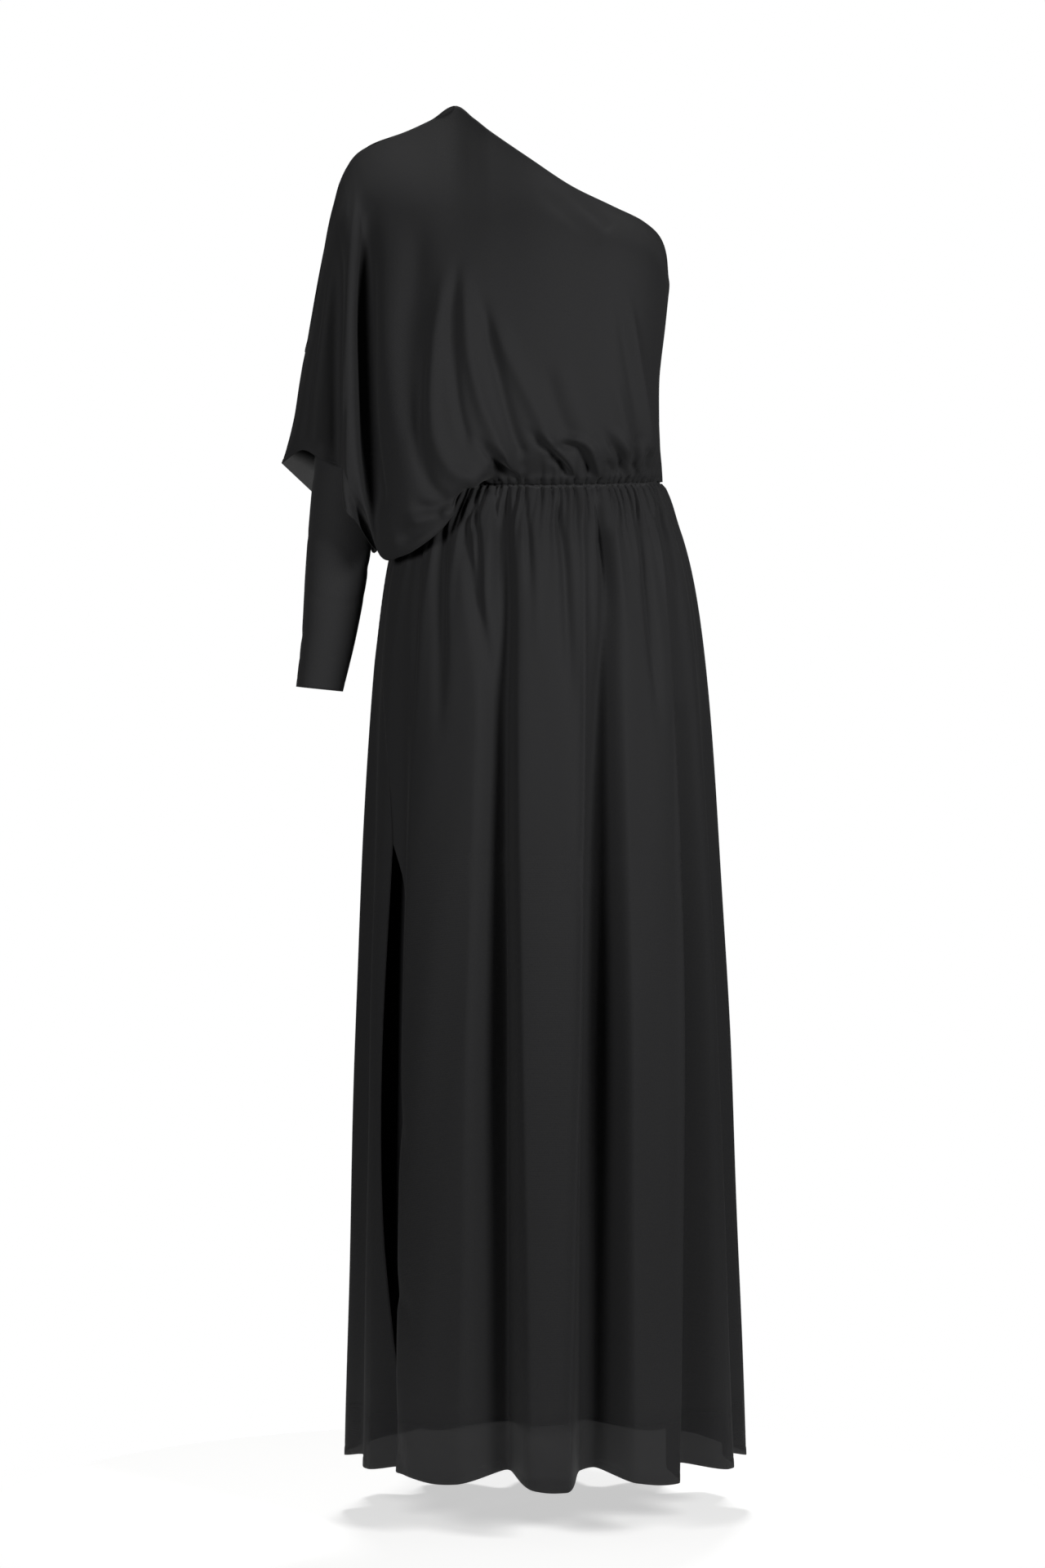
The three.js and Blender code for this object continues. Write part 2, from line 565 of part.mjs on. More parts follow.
function fittedSleeve() {
  const knots = sleeveRings.map((_, i) => i / (sleeveRings.length - 1));
  const shape = curveThrough(knots, sleeveRings.map((ring) => sleeveColumns.map((name) => ring[name])));
  const ringAt = (t, inset) => {
    const [x, y, height, halfWidth, halfDepth, tilt, peak] = shape(t);
    return Array.from({ length: sleeveSides }, (_, c) => {
      const a = (2 * Math.PI * c) / sleeveSides;
      const out = (halfWidth - inset) * Math.sin(a);
      return new THREE.Vector3(
        x + out * Math.cos(radians(tilt)),
        y - (halfDepth - inset) * Math.cos(a) * (1 + peak * Math.sin(a)),
        height - out * Math.sin(radians(tilt)),
      );
    });
  };
  const stations = Array.from({ length: sleeveSteps + 1 }, (_, i) => i / sleeveSteps);
  return tubeWall(
    stations.map((t) => ringAt(t, 0)),
    stations.map((t) => ringAt(t, wall)),
  );
}

const clothFinish = { color: black, roughness: 0.86, metalness: 0 };

function piece(name, geometry) {
  const mesh = new THREE.Mesh(geometry, new THREE.MeshStandardMaterial({ name, ...clothFinish }));
  mesh.name = name;
  return mesh;
}

const dress = new THREE.Group();
dress.add(
  piece("bodice_front", bodiceFront()),
  piece("bodice_back", bodicePanel(backLines, panelColumns.bodiceBack, backRows, -1)),
  piece("fitted_sleeve", fittedSleeve()),
  piece("waist_casing", waistCasing()),
  piece("skirt_front", hangingPanel(skirtPoint, skirtRows, panelColumns.skirtFront, frontEdge, leftSeam)),
  piece("skirt_back", hangingPanel(skirtPoint, skirtRows, panelColumns.skirtBack, leftSeam, backEdge)),
  piece("lining_front", liningPanel(panelColumns.liningFront, frontEdge, leftSeam)),
  piece("lining_back", liningPanel(panelColumns.liningBack, leftSeam, backEdge)),
);
dress.position.set(-shoulderPoint[0], -shoulderPoint[1], -(shoulderPoint[2] - wall));

export default dress;
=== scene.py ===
import bmesh
import bpy
import mathutils
import numpy as np
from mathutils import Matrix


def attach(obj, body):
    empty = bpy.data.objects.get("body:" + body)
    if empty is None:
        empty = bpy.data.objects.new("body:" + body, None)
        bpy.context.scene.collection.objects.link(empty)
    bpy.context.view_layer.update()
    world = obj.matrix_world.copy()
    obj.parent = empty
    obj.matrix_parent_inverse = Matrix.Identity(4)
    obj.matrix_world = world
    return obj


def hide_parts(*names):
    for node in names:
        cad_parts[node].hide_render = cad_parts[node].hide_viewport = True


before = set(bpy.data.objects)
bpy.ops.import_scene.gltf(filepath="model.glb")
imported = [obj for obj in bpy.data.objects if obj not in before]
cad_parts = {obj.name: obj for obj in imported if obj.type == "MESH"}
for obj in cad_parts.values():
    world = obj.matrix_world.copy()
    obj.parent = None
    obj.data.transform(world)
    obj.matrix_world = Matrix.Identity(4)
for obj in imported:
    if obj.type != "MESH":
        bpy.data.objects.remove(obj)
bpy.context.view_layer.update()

# The dress's own sizes are in millimetres, with heights from a level just under the hem. Each
# finished mesh is in metres from the point under the shoulder seam where the wearer's shoulder
# carries the dress, and this is added to get there.
to_shoulder = np.array([150, 0, -1469.4])

# ---- Skirt ----
# Two flared panels of georgette crepe, a sheer polyester cloth of hard-twisted yarn. They are
# gathered onto the elastic casing, seamed down the wearer's left side, and on the right seamed
# only to the top of the slit. The hem is turned up once and stitched.

seam_gap = 0.3
waist_height = 1083
waist_half_width = 132
waist_half_front = 98
waist_half_back = 100
waist_dip = 7
casing_height = 6
slit_top = 390
skirt_length = 1064
hem_band = 9
hip = {"drop": 75, "side": 46, "front": 58, "back": 70}
flare = {"side": 0.031, "front": 0.03, "back": 0.028}
lean = {"hip": -5, "hem": 2, "reach": 50}


def ease(t):
    t = np.clip(t, 0, 1)
    return t * t * (3 - 2 * t)


def fade(t):
    return 1 - ease(t)


def mix(a, b, t):
    return a + (b - a) * t


def curve_through(knots, values):
    """A smooth curve through values at uneven knots, which takes one place or an array of them."""
    knots = np.array(knots, float)
    values = np.array(values, float)
    last = len(knots) - 1
    before = np.maximum(np.arange(last + 1) - 1, 0)
    after = np.minimum(np.arange(last + 1) + 1, last)
    shape = (-1,) + (1,) * (values.ndim - 1)
    slopes = (values[after] - values[before]) / (knots[after] - knots[before]).reshape(shape)

    def at(place):
        place = np.asarray(place, float)
        i = np.clip(np.searchsorted(knots, place, side="left") - 1, 0, last - 1)
        span = knots[i + 1] - knots[i]
        s = (place - knots[i]) / span
        wide = place.shape + (1,) * (values.ndim - 1)
        s, span = s.reshape(wide), span.reshape(wide)
        s2, s3 = s * s, s * s * s
        return (
            (2 * s3 - 3 * s2 + 1) * values[i]
            + (s3 - 2 * s2 + s) * span * slopes[i]
            + (3 * s2 - 2 * s3) * values[i + 1]
            + (s3 - s2) * span * slopes[i + 1]
        )

    return at


def waist_dip_at(angle):
    return waist_dip * np.maximum(np.cos(np.radians(angle)), 0) ** 2


def skirt_ring(drop):
    swell = 1 - np.exp(-drop / hip["drop"])
    return (
        waist_half_width + hip["side"] * swell + flare["side"] * drop,
        waist_half_front + hip["front"] * swell + flare["front"] * drop,
        waist_half_back + hip["back"] * swell + flare["back"] * drop,
    )


def hanging_point(angle, drop, lift, sag=0):
    """A point at an angle round the body (0 front, 90 the wearer's left) and a drop from the waist."""
    a = np.radians(angle)
    half_width, half_front, half_back = skirt_ring(drop)
    half_depth = np.where(np.cos(a) > 0, half_front, half_back)
    middle = mix(lean["hip"], lean["hem"], drop / skirt_length) * ease(drop / lean["reach"])
    dip = waist_dip_at(angle) * (1 - drop / skirt_length)
    height = waist_height - casing_height / 2 - seam_gap - dip - drop - sag
    x = (half_width + lift) * np.sin(a) + middle
    y = -(half_depth + lift) * np.cos(a)
    return np.stack(np.broadcast_arrays(x, y, height), -1)


# Hanging folds, one row for each crest round the skirt: its angle at the waist and the hem, its
# height, and then where between it and the next crest the cloth falls back and climbs out again.
# Those are shares of the way, each with the width of the turn, at the waist and at the hem. A
# narrow turn is a sharp edge.
skirt_folds = np.array([
    [-66, -62, 8, 0.20, 0.30, 0.18, 0.30, 0.50, 0.26, 0.40, 0.26],
    [-34, -31, 16, 0.46, 0.16, 0.40, 0.42, 0.66, 0.12, 0.68, 0.34],
    [2, 2, 25, 0.44, 0.04, 0.20, 0.20, 0.72, 0.14, 0.57, 0.24],
    [37, 35, 20, 0.62, 0.05, 0.20, 0.22, 0.88, 0.30, 0.74, 0.44],
    [65, 65, 12, 0.25, 0.44, 0.25, 0.44, 0.75, 0.44, 0.75, 0.44],
    [95, 93, 12, 0.30, 0.30, 0.26, 0.36, 0.74, 0.30, 0.70, 0.36],
    [123, 122, 16, 0.50, 0.16, 0.36, 0.28, 0.78, 0.20, 0.66, 0.34],
    [151, 150, 20, 0.42, 0.08, 0.22, 0.24, 0.78, 0.20, 0.62, 0.34],
    [180, 181, 22, 0.30, 0.30, 0.26, 0.40, 0.76, 0.30, 0.72, 0.40],
    [209, 210, 19, 0.46, 0.26, 0.36, 0.34, 0.80, 0.08, 0.78, 0.22],
    [238, 239, 15, 0.30, 0.26, 0.28, 0.36, 0.74, 0.30, 0.70, 0.36],
    [266, 268, 10, 0.25, 0.44, 0.25, 0.44, 0.75, 0.44, 0.75, 0.44],
    [294, 298, 8, 0.20, 0.30, 0.18, 0.30, 0.50, 0.26, 0.40, 0.26],
])


def broad_fold(angle, drop, rounded=False):
    angle, drop = np.broadcast_arrays(np.asarray(angle, float), np.asarray(drop, float))
    t = np.clip(drop / skirt_length, 0, 1)
    crests = mix(skirt_folds[:, 0], skirt_folds[:, 1], t[..., None])
    turned = (angle - crests[..., 0]) % 360 + crests[..., 0]
    i = np.clip((turned[..., None] >= crests).sum(-1) - 1, 0, len(skirt_folds) - 2)
    here = np.take_along_axis(crests, i[..., None], -1)[..., 0]
    after = np.take_along_axis(crests, i[..., None] + 1, -1)[..., 0]
    share = (turned - here) / (after - here)
    depth = mix(skirt_folds[i, 2], skirt_folds[i + 1, 2], ease(share))
    # A fold begins under the gathers and has its full depth 660 mm down.
    formed = 0.12 * ease(drop / 60) + 0.88 * ease((drop - 40) / 620)
    if rounded:
        return depth * formed * np.cos(2 * np.pi * share)
    fall, fall_width, climb, climb_width = (
        mix(skirt_folds[i, k], skirt_folds[i, k + 2], t) for k in (3, 4, 7, 8)
    )
    falling = ease((share - fall) / fall_width + 0.5)
    climbing = ease((share - climb) / climb_width + 0.5)
    return depth * formed * (1 - 2 * falling + 2 * climbing)


# Creases that run down from the gathers: how far each rises (or sinks, below 0), half its width
# in degrees, and its path as drops and angles.
skirt_creases = [
    [-6.2, 1.5, [0, 11, 55, 160], [-32.5, -31.5, -24.7, -21]],
    [-6.2, 1.4, [0, 46, 81, 170], [-23.6, -17.9, -16.2, -15.6]],
    [-12.5, 2.8, [0, 60, 133, 230, 420, 700, 1064], [-17.5, -14, -11.8, -12.4, -13.4, -13.4, -13]],
    [-7.5, 2.4, [20, 133, 214, 330], [-34, -22.4, -17.8, -15]],
    [-6.9, 2.2, [30, 133, 186, 300], [-43, -37.7, -35.8, -35]],
    [-5, 1.6, [40, 120, 200, 300], [-55, -51, -49, -48]],
    [-5.6, 1.3, [0, 30, 55, 130], [-8, -6, -4.3, -4]],
    [3.8, 1.5, [0, 40, 90, 200], [-2, -1.4, -0.8, -1]],
    [-6.9, 1.7, [0, 64, 116, 270], [6, 9.2, 9.7, 9.9]],
    [4.4, 1.0, [0, 99, 230, 360, 622, 1064], [18.2, 16.9, 14.7, 13.2, 10.5, 7]],
    [-6.9, 1.4, [0, 30, 64, 150], [24, 25.4, 27, 26.4]],
    [-12.5, 2.8, [30, 133, 230, 420, 700, 1064], [27.2, 25.8, 22.0, 18.6, 17.4, 16.4]],
    [3.8, 1.8, [0, 40, 90, 200], [35, 32, 30.2, 29]],
    [-6.9, 1.8, [0, 64, 116, 280], [48.5, 44.8, 42.5, 42.2]],
    [3.1, 1.5, [0, 46, 70, 140], [59, 53.6, 52.6, 52]],
    [3.1, 1.2, [230, 448, 622, 1064], [51.5, 47.4, 44.5, 40]],
    [-8.8, 4.0, [230, 535, 884, 1064], [56.5, 54.3, 51.2, 50]],
    [-5, 1.4, [0, 40, 80, 160], [66, 63, 61, 60]],
    [-5, 1.6, [0, 50, 110, 220], [77, 75, 74, 74]],
    [-6.2, 1.8, [0, 60, 120, 260], [99, 101, 103, 104]],
    [3.8, 1.5, [0, 40, 90, 200], [109, 111, 112, 112]],
    [-9.4, 2.4, [0, 70, 150, 420, 1064], [118, 124, 132, 136, 137]],
    [-5.6, 1.5, [0, 40, 90, 180], [130, 129, 127, 126]],
    [4.4, 1.5, [0, 60, 130, 300], [140, 143, 145, 147]],
    [-7.5, 1.9, [0, 60, 140, 320], [152, 157, 162, 165]],
    [-5.6, 1.5, [0, 30, 70, 150], [163, 164, 166, 167]],
    [3.8, 1.7, [0, 40, 90, 220], [173, 175, 177, 178]],
    [-6.2, 1.8, [0, 60, 120, 260], [186, 188, 190, 192]],
    [-10, 2.5, [0, 70, 150, 440, 1064], [203, 199, 196, 195, 195]],
    [4.4, 1.5, [0, 50, 110, 240], [212, 210, 208, 207]],
    [-6.2, 1.7, [0, 50, 100, 210], [222, 221, 219, 218]],
    [-8.1, 2.1, [0, 70, 150, 360], [233, 229, 226, 225]],
    [3.8, 1.6, [0, 40, 90, 200], [243, 242, 241, 241]],
    [-6.2, 1.8, [0, 50, 110, 240], [253, 253, 254, 254]],
    [-5, 1.8, [0, 50, 100, 200], [264, 266, 268, 269]],
    [-4.0, 1.5, [610, 650, 700, 760], [-52, -50, -46.5, -44]],
    [-3.5, 1.8, [830, 866, 892, 940], [-52, -49, -42.5, -38]],
    [-4.0, 1.6, [950, 990, 1040, 1064], [-52, -50, -46, -45]],
]


# A crease forms over a short way from its start. Unless it runs to the hem, it then fades away
# over the rest of its length.
crease_forming = 34
crease_steady = 0.45
crease_fading = 0.55


def crease_height(angle, drop):
    total = np.zeros(np.broadcast(angle, drop).shape)
    for rise, half_width, drops, angles in skirt_creases:
        start, end = drops[0], drops[-1]
        place = curve_through(drops, angles)(np.clip(drop, start, end))
        begin = ease((drop - start) / crease_forming + 0.12 * (start == 0))
        finish = 1
        if end < skirt_length:
            finish = fade((drop - mix(start, end, crease_steady)) / ((end - start) * crease_fading))
        away = (angle - place + 180) % 360 - 180
        spread = half_width * (1 + drop / 900)
        total += rise * begin * finish * np.exp(-((away / spread) ** 2))
    return total


# Small gathers under the casing: narrow valleys at uneven steps between soft puffs of cloth.
chance = np.random.default_rng(11)


def uneven_angles(count):
    return (np.arange(count) + chance.uniform(-0.3, 0.3, count)) * 360 / count


gather_count = 92
gather_angles = uneven_angles(gather_count)
gather_depths = chance.uniform(3.4, 7.4, gather_count)
gather_reaches = 18 + 110 * chance.uniform(0, 1, gather_count) ** 1.6
gather_half_width = 0.9
deepest_gather = 5.8
puff_height = 2.2
puff_reach = 60


def gather_height(angle, drop):
    total = puff_height * np.exp(-drop / puff_reach) * np.ones(np.broadcast(angle, drop).shape)
    for place, depth, reach in zip(gather_angles, gather_depths, gather_reaches):
        away = (angle - place + 180) % 360 - 180
        half_width = gather_half_width + drop / 75
        total -= depth * np.exp(-drop / reach) * np.exp(-((away / half_width) ** 2))
    return np.maximum(total, -deepest_gather - drop / 9)


hem_layer = 0.35
top_drawn_in = 2.4
top_drawn_up = 2.2


def skirt_point(angle, drop):
    # The hem hangs a little lower on the crests of the folds than between them.
    crest = broad_fold(angle, skirt_length) + broad_fold(angle, skirt_length, rounded=True)
    sag = ease((drop - 900) / 180) * 0.18 * crest
    # The cloth hangs a little unevenly.
    turn = np.radians(angle)
    soft = 0.7 * np.sin(turn * 17 + drop / 90) * np.sin(drop / 130 + turn * 5)
    lift = broad_fold(angle, drop) + crease_height(angle, drop) + gather_height(angle, drop)
    lift = lift + soft * ease(drop / 200)
    # The turned-up hem is two layers thick and ends in a shallow groove at its stitching.
    up = skirt_length - drop
    groove = np.exp(-(((up - hem_band) / 1.1) ** 2))
    lift = lift + hem_layer * fade((up - hem_band) / 1.2) - hem_layer * groove
    # Its top edge is drawn in and up against the casing.
    lift = lift - top_drawn_in * fade(drop / 5)
    return hanging_point(angle, drop, lift, sag - top_drawn_up * fade(drop / 8))


# The seam over the slit and the slit's two edges, as drops and angles.
slit_seam = curve_through([0, 97, 240, slit_top, skirt_length], [-90, -84, -66, -58, -58])
slit_front_edge = curve_through(
    [slit_top, 440, 500, 592, 727, 952, skirt_length], [-58, -53.7, -51.9, -51.2, -49.8, -49.6, -51.5]
)
slit_back_edge = curve_through(
    [slit_top, 600, 800, 920, 1000, skirt_length], [-58, -59.5, -58, -54.5, -51.4, -51.9]
)


def front_edge(drop):
    return np.where(drop > slit_top, slit_front_edge(drop), slit_seam(drop))


def back_edge(drop):
    return 360 + np.where(drop > slit_top, slit_back_edge(drop), slit_seam(drop))


def left_seam(drop):
    return np.full(np.shape(drop), 90.0)


even_drop = 700
folds_inside = 20


def hanging_panel(point_at, drops, columns, start_edge, end_edge):
    """A panel between two edges, with columns at nearly even steps over the folds at one drop."""
    samples = 3000
    dense = np.linspace(0, 1, samples)
    across = mix(start_edge(even_drop), end_edge(even_drop), dense)
    line = point_at(across, np.full(samples, float(even_drop)))
    walk = np.linalg.norm(np.diff(line, axis=0), axis=1)
    walk = np.concatenate([[0], np.cumsum(walk)]) / walk.sum()
    even = np.interp(np.linspace(0, 1, columns), mix(walk, dense, 0.35), dense)
    drop = np.array(drops, float)[:, None]
    half_gap = np.degrees(seam_gap / 2 / (skirt_ring(drop)[0] - folds_inside))
    angle = mix(start_edge(drop) + half_gap, end_edge(drop) - half_gap, even[None, :])
    return point_at(angle, drop)


def cloth_piece(name, points, thickness, turned=True, closed=False):
    """A sheet of cloth on a grid of points in mm, with rows down the cloth and a UV map in metres."""
    rows, columns = points.shape[:2]
    mean_width = np.linalg.norm(np.diff(points, axis=1), axis=-1).sum(1).mean() / 1000
    mean_length = np.linalg.norm(np.diff(points, axis=0), axis=-1).sum(0).mean() / 1000
    sheet = bmesh.new()
    sheet.loops.layers.uv.new("cloth")
    bmesh.ops.create_grid(sheet, x_segments=columns - 1, y_segments=rows - 1, size=0.5, calc_uvs=True)
    if turned:
        bmesh.ops.reverse_faces(sheet, faces=sheet.faces)
    mesh = bpy.data.meshes.new(name)
    sheet.to_mesh(mesh)
    sheet.free()
    places = np.empty(len(mesh.vertices) * 3, np.float32)
    mesh.vertices.foreach_get("co", places)
    places = places.reshape(-1, 3)
    column = np.rint((places[:, 0] + 0.5) * (columns - 1)).astype(int)
    row = np.rint((places[:, 1] + 0.5) * (rows - 1)).astype(int)
    placed = (points[row, column] + to_shoulder) / 1000
    mesh.vertices.foreach_set("co", placed.astype(np.float32).ravel())
    uv = np.empty(len(mesh.loops) * 2, np.float32)
    mesh.uv_layers["cloth"].data.foreach_get("uv", uv)
    uv = uv.reshape(-1, 2) * (mean_width, mean_length)
    mesh.uv_layers["cloth"].data.foreach_set("uv", uv.astype(np.float32).ravel())
    if closed:
        joined = bmesh.new()
        joined.from_mesh(mesh)
        bmesh.ops.remove_doubles(joined, verts=joined.verts, dist=1e-6)
        joined.to_mesh(mesh)
        joined.free()
    mesh.polygons.foreach_set("use_smooth", [True] * len(mesh.polygons))
    mesh.update()
    piece = bpy.data.objects.new(name, mesh)
    bpy.context.scene.collection.objects.link(piece)
    wall = piece.modifiers.new("wall", "SOLIDIFY")
    wall.thickness = thickness / 1000
    wall.offset = -1
    return piece


def linear(code):
    """The linear colour of an sRGB hex value."""
    parts = [int(code[k : k + 2], 16) / 255 for k in (1, 3, 5)]
    return [c / 12.92 if c <= 0.04045 else ((c + 0.055) / 1.055) ** 2.4 for c in parts] + [1]


def new_material(name):
    material = bpy.data.materials.new(name)
    material.use_nodes = True
    material.node_tree.nodes.clear()
    return material


def add_node(material, kind, sockets=None, **settings):
    """Adds a node with its settings, and sets or links its sockets."""
    node = material.node_tree.nodes.new(kind)
    for key, value in settings.items():
        setattr(node, key, value)
    for socket, value in (sockets or {}).items():
        if isinstance(value, bpy.types.NodeSocket):
            material.node_tree.links.new(value, node.inputs[socket])
        else:
            node.inputs[socket].default_value = value
    return node


# Georgette crepe, piece-dyed black, woven of hard-twisted polyester yarn. It is matt and slightly
# pebbled, and one layer lets some light through.
georgette = new_material("georgette_crepe")
yarn_dark = linear("#161617")
yarn_light = linear("#202021")
# Its yarns lie 0.25 mm apart, too fine to show, so the weave and its pebbles are drawn at 0.9 mm
# and 1.6 mm.
weave_spacing = 0.0009
pebble_size = 0.0016
# A wave texture of scale 1 repeats after this length.
wave_length = 0.314
cloth_uv = add_node(georgette, "ShaderNodeUVMap", uv_map="cloth")
weave = {
    "Vector": cloth_uv.outputs["UV"],
    "Scale": wave_length / weave_spacing,
    "Distortion": 1.2,
    "Detail": 1.0,
}
warp = add_node(georgette, "ShaderNodeTexWave", weave, bands_direction="X")
weft = add_node(georgette, "ShaderNodeTexWave", weave, bands_direction="Y")
pebbles = add_node(
    georgette,
    "ShaderNodeTexNoise",
    {"Vector": cloth_uv.outputs["UV"], "Scale": 1 / pebble_size, "Detail": 3.0, "Roughness": 0.6},
)
crossing = add_node(
    georgette, "ShaderNodeMath", {0: warp.outputs["Fac"], 1: weft.outputs["Fac"]}, operation="MULTIPLY"
)
grain = add_node(
    georgette, "ShaderNodeMath", {0: crossing.outputs[0], 1: pebbles.outputs["Fac"]}, operation="ADD"
)
yarn = add_node(
    georgette,
    "ShaderNodeMix",
    {"Factor": pebbles.outputs["Fac"], "A": yarn_dark, "B": yarn_light},
    data_type="RGBA",
)
grain_bump = add_node(
    georgette, "ShaderNodeBump", {"Height": grain.outputs[0], "Strength": 0.35, "Distance": 0.0003}
)
unlined = add_node(georgette, "ShaderNodeAttribute", attribute_name="unlined")
cover = add_node(
    georgette,
    "ShaderNodeMapRange",
    {"Value": unlined.outputs["Fac"], "From Min": 0.0, "From Max": 2.0, "To Min": 1.0, "To Max": 0.8},
)
georgette_surface = add_node(
    georgette,
    "ShaderNodeBsdfPrincipled",
    {
        "Base Color": yarn.outputs["Result"],
        "Roughness": 0.82,
        "IOR": 1.5,
        "Specular IOR Level": 0.25,
        "Sheen Weight": 0.03,
        "Sheen Roughness": 0.5,
        "Normal": grain_bump.outputs["Normal"],
        "Alpha": cover.outputs["Result"],
    },
)
add_node(georgette, "ShaderNodeOutputMaterial", {"Surface": georgette_surface.outputs["BSDF"]})


def mark_unlined(piece, values):
    """Says how sheer each point of a sheet looks: 0 over a lining, 1 alone and 2 against the light."""
    spread = piece.data.attributes.new("unlined", "FLOAT", "POINT")
    spread.data.foreach_set("value", np.asarray(values, np.float32).ravel())


skirt_drops = np.concatenate([
    [0, 0.3],
    np.linspace(1, 60, 22, endpoint=False),
    np.linspace(60, slit_top, 40, endpoint=False),
    [slit_top],
    np.linspace(slit_top + 6, skirt_length - 14, 50),
    skirt_length - np.array([11.5, 10.2, 9.4, 8.6, 7.8, 5, 2, 0]),
])
skirt_thickness = 0.7
# The lining ends above this height, and the skirt alone looks sheer below it.
sheer_height = 72
sheer_fade = 16
skirt_front = cloth_piece(
    "skirt_front_cloth",
    hanging_panel(skirt_point, skirt_drops, 376, front_edge, left_seam),
    skirt_thickness,
)
skirt_back = cloth_piece(
    "skirt_back_cloth",
    hanging_panel(skirt_point, skirt_drops, 350, left_seam, back_edge),
    skirt_thickness,
)
for piece, node in ((skirt_front, "skirt_front"), (skirt_back, "skirt_back")):
    piece.data.materials.append(georgette)
    heights = np.array([vertex.co.z for vertex in piece.data.vertices]) * 1000 - to_shoulder[2]
    mark_unlined(piece, fade((heights - sheer_height) / sheer_fade))
    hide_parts(node)
    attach(piece, "root")

# ---- Lining ----
# Two panels of plain polyester lining, smoother than the crepe and 64 mm shorter. They hang from
# the same casing inside the skirt and are open at the same slit.

lining_length = 1000
lining_clear = 7.5
lining_rows = np.concatenate([
    np.linspace(0, slit_top, 34, endpoint=False),
    np.linspace(slit_top, lining_length, 46),
])


def lining_point(angle, drop):
    # It hangs straighter than the skirt, and further inside it lower down.
    grown = 3.6 * ease(drop / 20) + 7 * ease(drop / 60) + 14 * ease(drop / 700)
    ripple = 0.8 * np.sin(np.radians(angle) * 23 + drop / 160) * ease(drop / 120)
    lift = 0.5 * broad_fold(angle, drop) - lining_clear - grown + ripple
    return hanging_point(angle, drop, lift)


# Polyester lining, black, plain-woven and calendered: smooth, with a low satin gloss. Its weave is
# too fine to show, so its slight unevenness is drawn at 1.2 mm.
lining_cloth = new_material("polyester_lining")
lining_grain_size = 0.0012
lining_uv = add_node(lining_cloth, "ShaderNodeUVMap", uv_map="cloth")
lining_grain = add_node(
    lining_cloth,
    "ShaderNodeTexNoise",
    {
        "Vector": lining_uv.outputs["UV"],
        "Scale": 1 / lining_grain_size,
        "Detail": 2.0,
        "Roughness": 0.5,
    },
)
lining_bump = add_node(
    lining_cloth,
    "ShaderNodeBump",
    {"Height": lining_grain.outputs["Fac"], "Strength": 0.15, "Distance": 0.0002},
)
lining_colour = add_node(
    lining_cloth,
    "ShaderNodeMix",
    {"Factor": lining_grain.outputs["Fac"], "A": linear("#19191a"), "B": linear("#212123")},
    data_type="RGBA",
)
lining_surface = add_node(
    lining_cloth,
    "ShaderNodeBsdfPrincipled",
    {
        "Base Color": lining_colour.outputs["Result"],
        "Roughness": 0.55,
        "IOR": 1.5,
        "Specular IOR Level": 0.3,
        "Normal": lining_bump.outputs["Normal"],
    },
)
add_node(lining_cloth, "ShaderNodeOutputMaterial", {"Surface": lining_surface.outputs["BSDF"]})

lining_thickness = 0.5
lining_front = cloth_piece(
    "lining_front_cloth",
    hanging_panel(lining_point, lining_rows, 130, front_edge, left_seam),
    lining_thickness,
)
lining_back = cloth_piece(
    "lining_back_cloth",
    hanging_panel(lining_point, lining_rows, 150, left_seam, back_edge),
    lining_thickness,
)
for piece, node in ((lining_front, "lining_front"), (lining_back, "lining_back")):
    piece.data.materials.append(lining_cloth)
    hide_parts(node)
    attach(piece, "root")

# ---- Waist casing ----
# A narrow tunnel of the same crepe with elastic in it. The elastic draws the seam in, so the
# tunnel is puckered all round.

pucker_count = 118
pucker_angles = uneven_angles(pucker_count)
pucker_depths = chance.uniform(0.9, 1.8, pucker_count)
pucker_half_width = 0.75
casing_bulge = 0.6
casing_inset = 3.4
casing_thickness = 1.2
casing_angle = np.linspace(0, 360, 1441)[None, :]
casing_level = np.linspace(0, 1, 9)[:, None]
casing_lift = casing_bulge * np.sin(np.pi * casing_level) - casing_inset + 0 * casing_angle
for place, depth in zip(pucker_angles, pucker_depths):
    away = (casing_angle - place + 180) % 360 - 180
    casing_lift = casing_lift - depth * np.exp(-((away / pucker_half_width) ** 2))
casing_turn = np.radians(casing_angle)
casing_half_depth = np.where(np.cos(casing_turn) > 0, waist_half_front, waist_half_back)
casing_grid = np.stack(
    [
        (waist_half_width + casing_lift) * np.sin(casing_turn),
        -(casing_half_depth + casing_lift) * np.cos(casing_turn),
        waist_height + casing_height / 2 - casing_height * casing_level - waist_dip_at(casing_angle),
    ],
    -1,
)
casing_grid[:, -1] = casing_grid[:, 0]
waist_casing = cloth_piece("waist_casing_cloth", casing_grid, casing_thickness, closed=True)
waist_casing.data.materials.append(georgette)
mark_unlined(waist_casing, np.zeros(len(waist_casing.data.vertices)))
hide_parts("waist_casing")
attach(waist_casing, "root")

# ---- Fitted sleeve ----
# A long close sleeve of fine polyester jersey, knitted, cut in one piece and seamed to a tube
# along the arm's inside. It is set into the armhole under the wide sleeve and hemmed at the wrist.

# Rings down the sleeve: the middle's x, y and height, half the width and depth, the tilt in
# degrees and how far the ring is drawn to one side.
sleeve_rings = np.array([
    [-184, 0, 1384, 57.2, 34.6, 70, 0.56],
    [-186, 4, 1352, 45, 36, 42, 0.25],
    [-195, 11, 1280, 38, 37, 12, 0],
    [-206, 15, 1200, 37, 36, 0, 0],
    [-215, 16, 1115, 37, 35, 0, 0],
    [-223, 13, 1035, 36, 33, 2, 0],
    [-229, 8, 975, 34, 31, 4, 0],
    [-236, 1, 915, 30, 28, 5, 0],
    [-246, -6, 856, 26, 24, 6, 0],
])
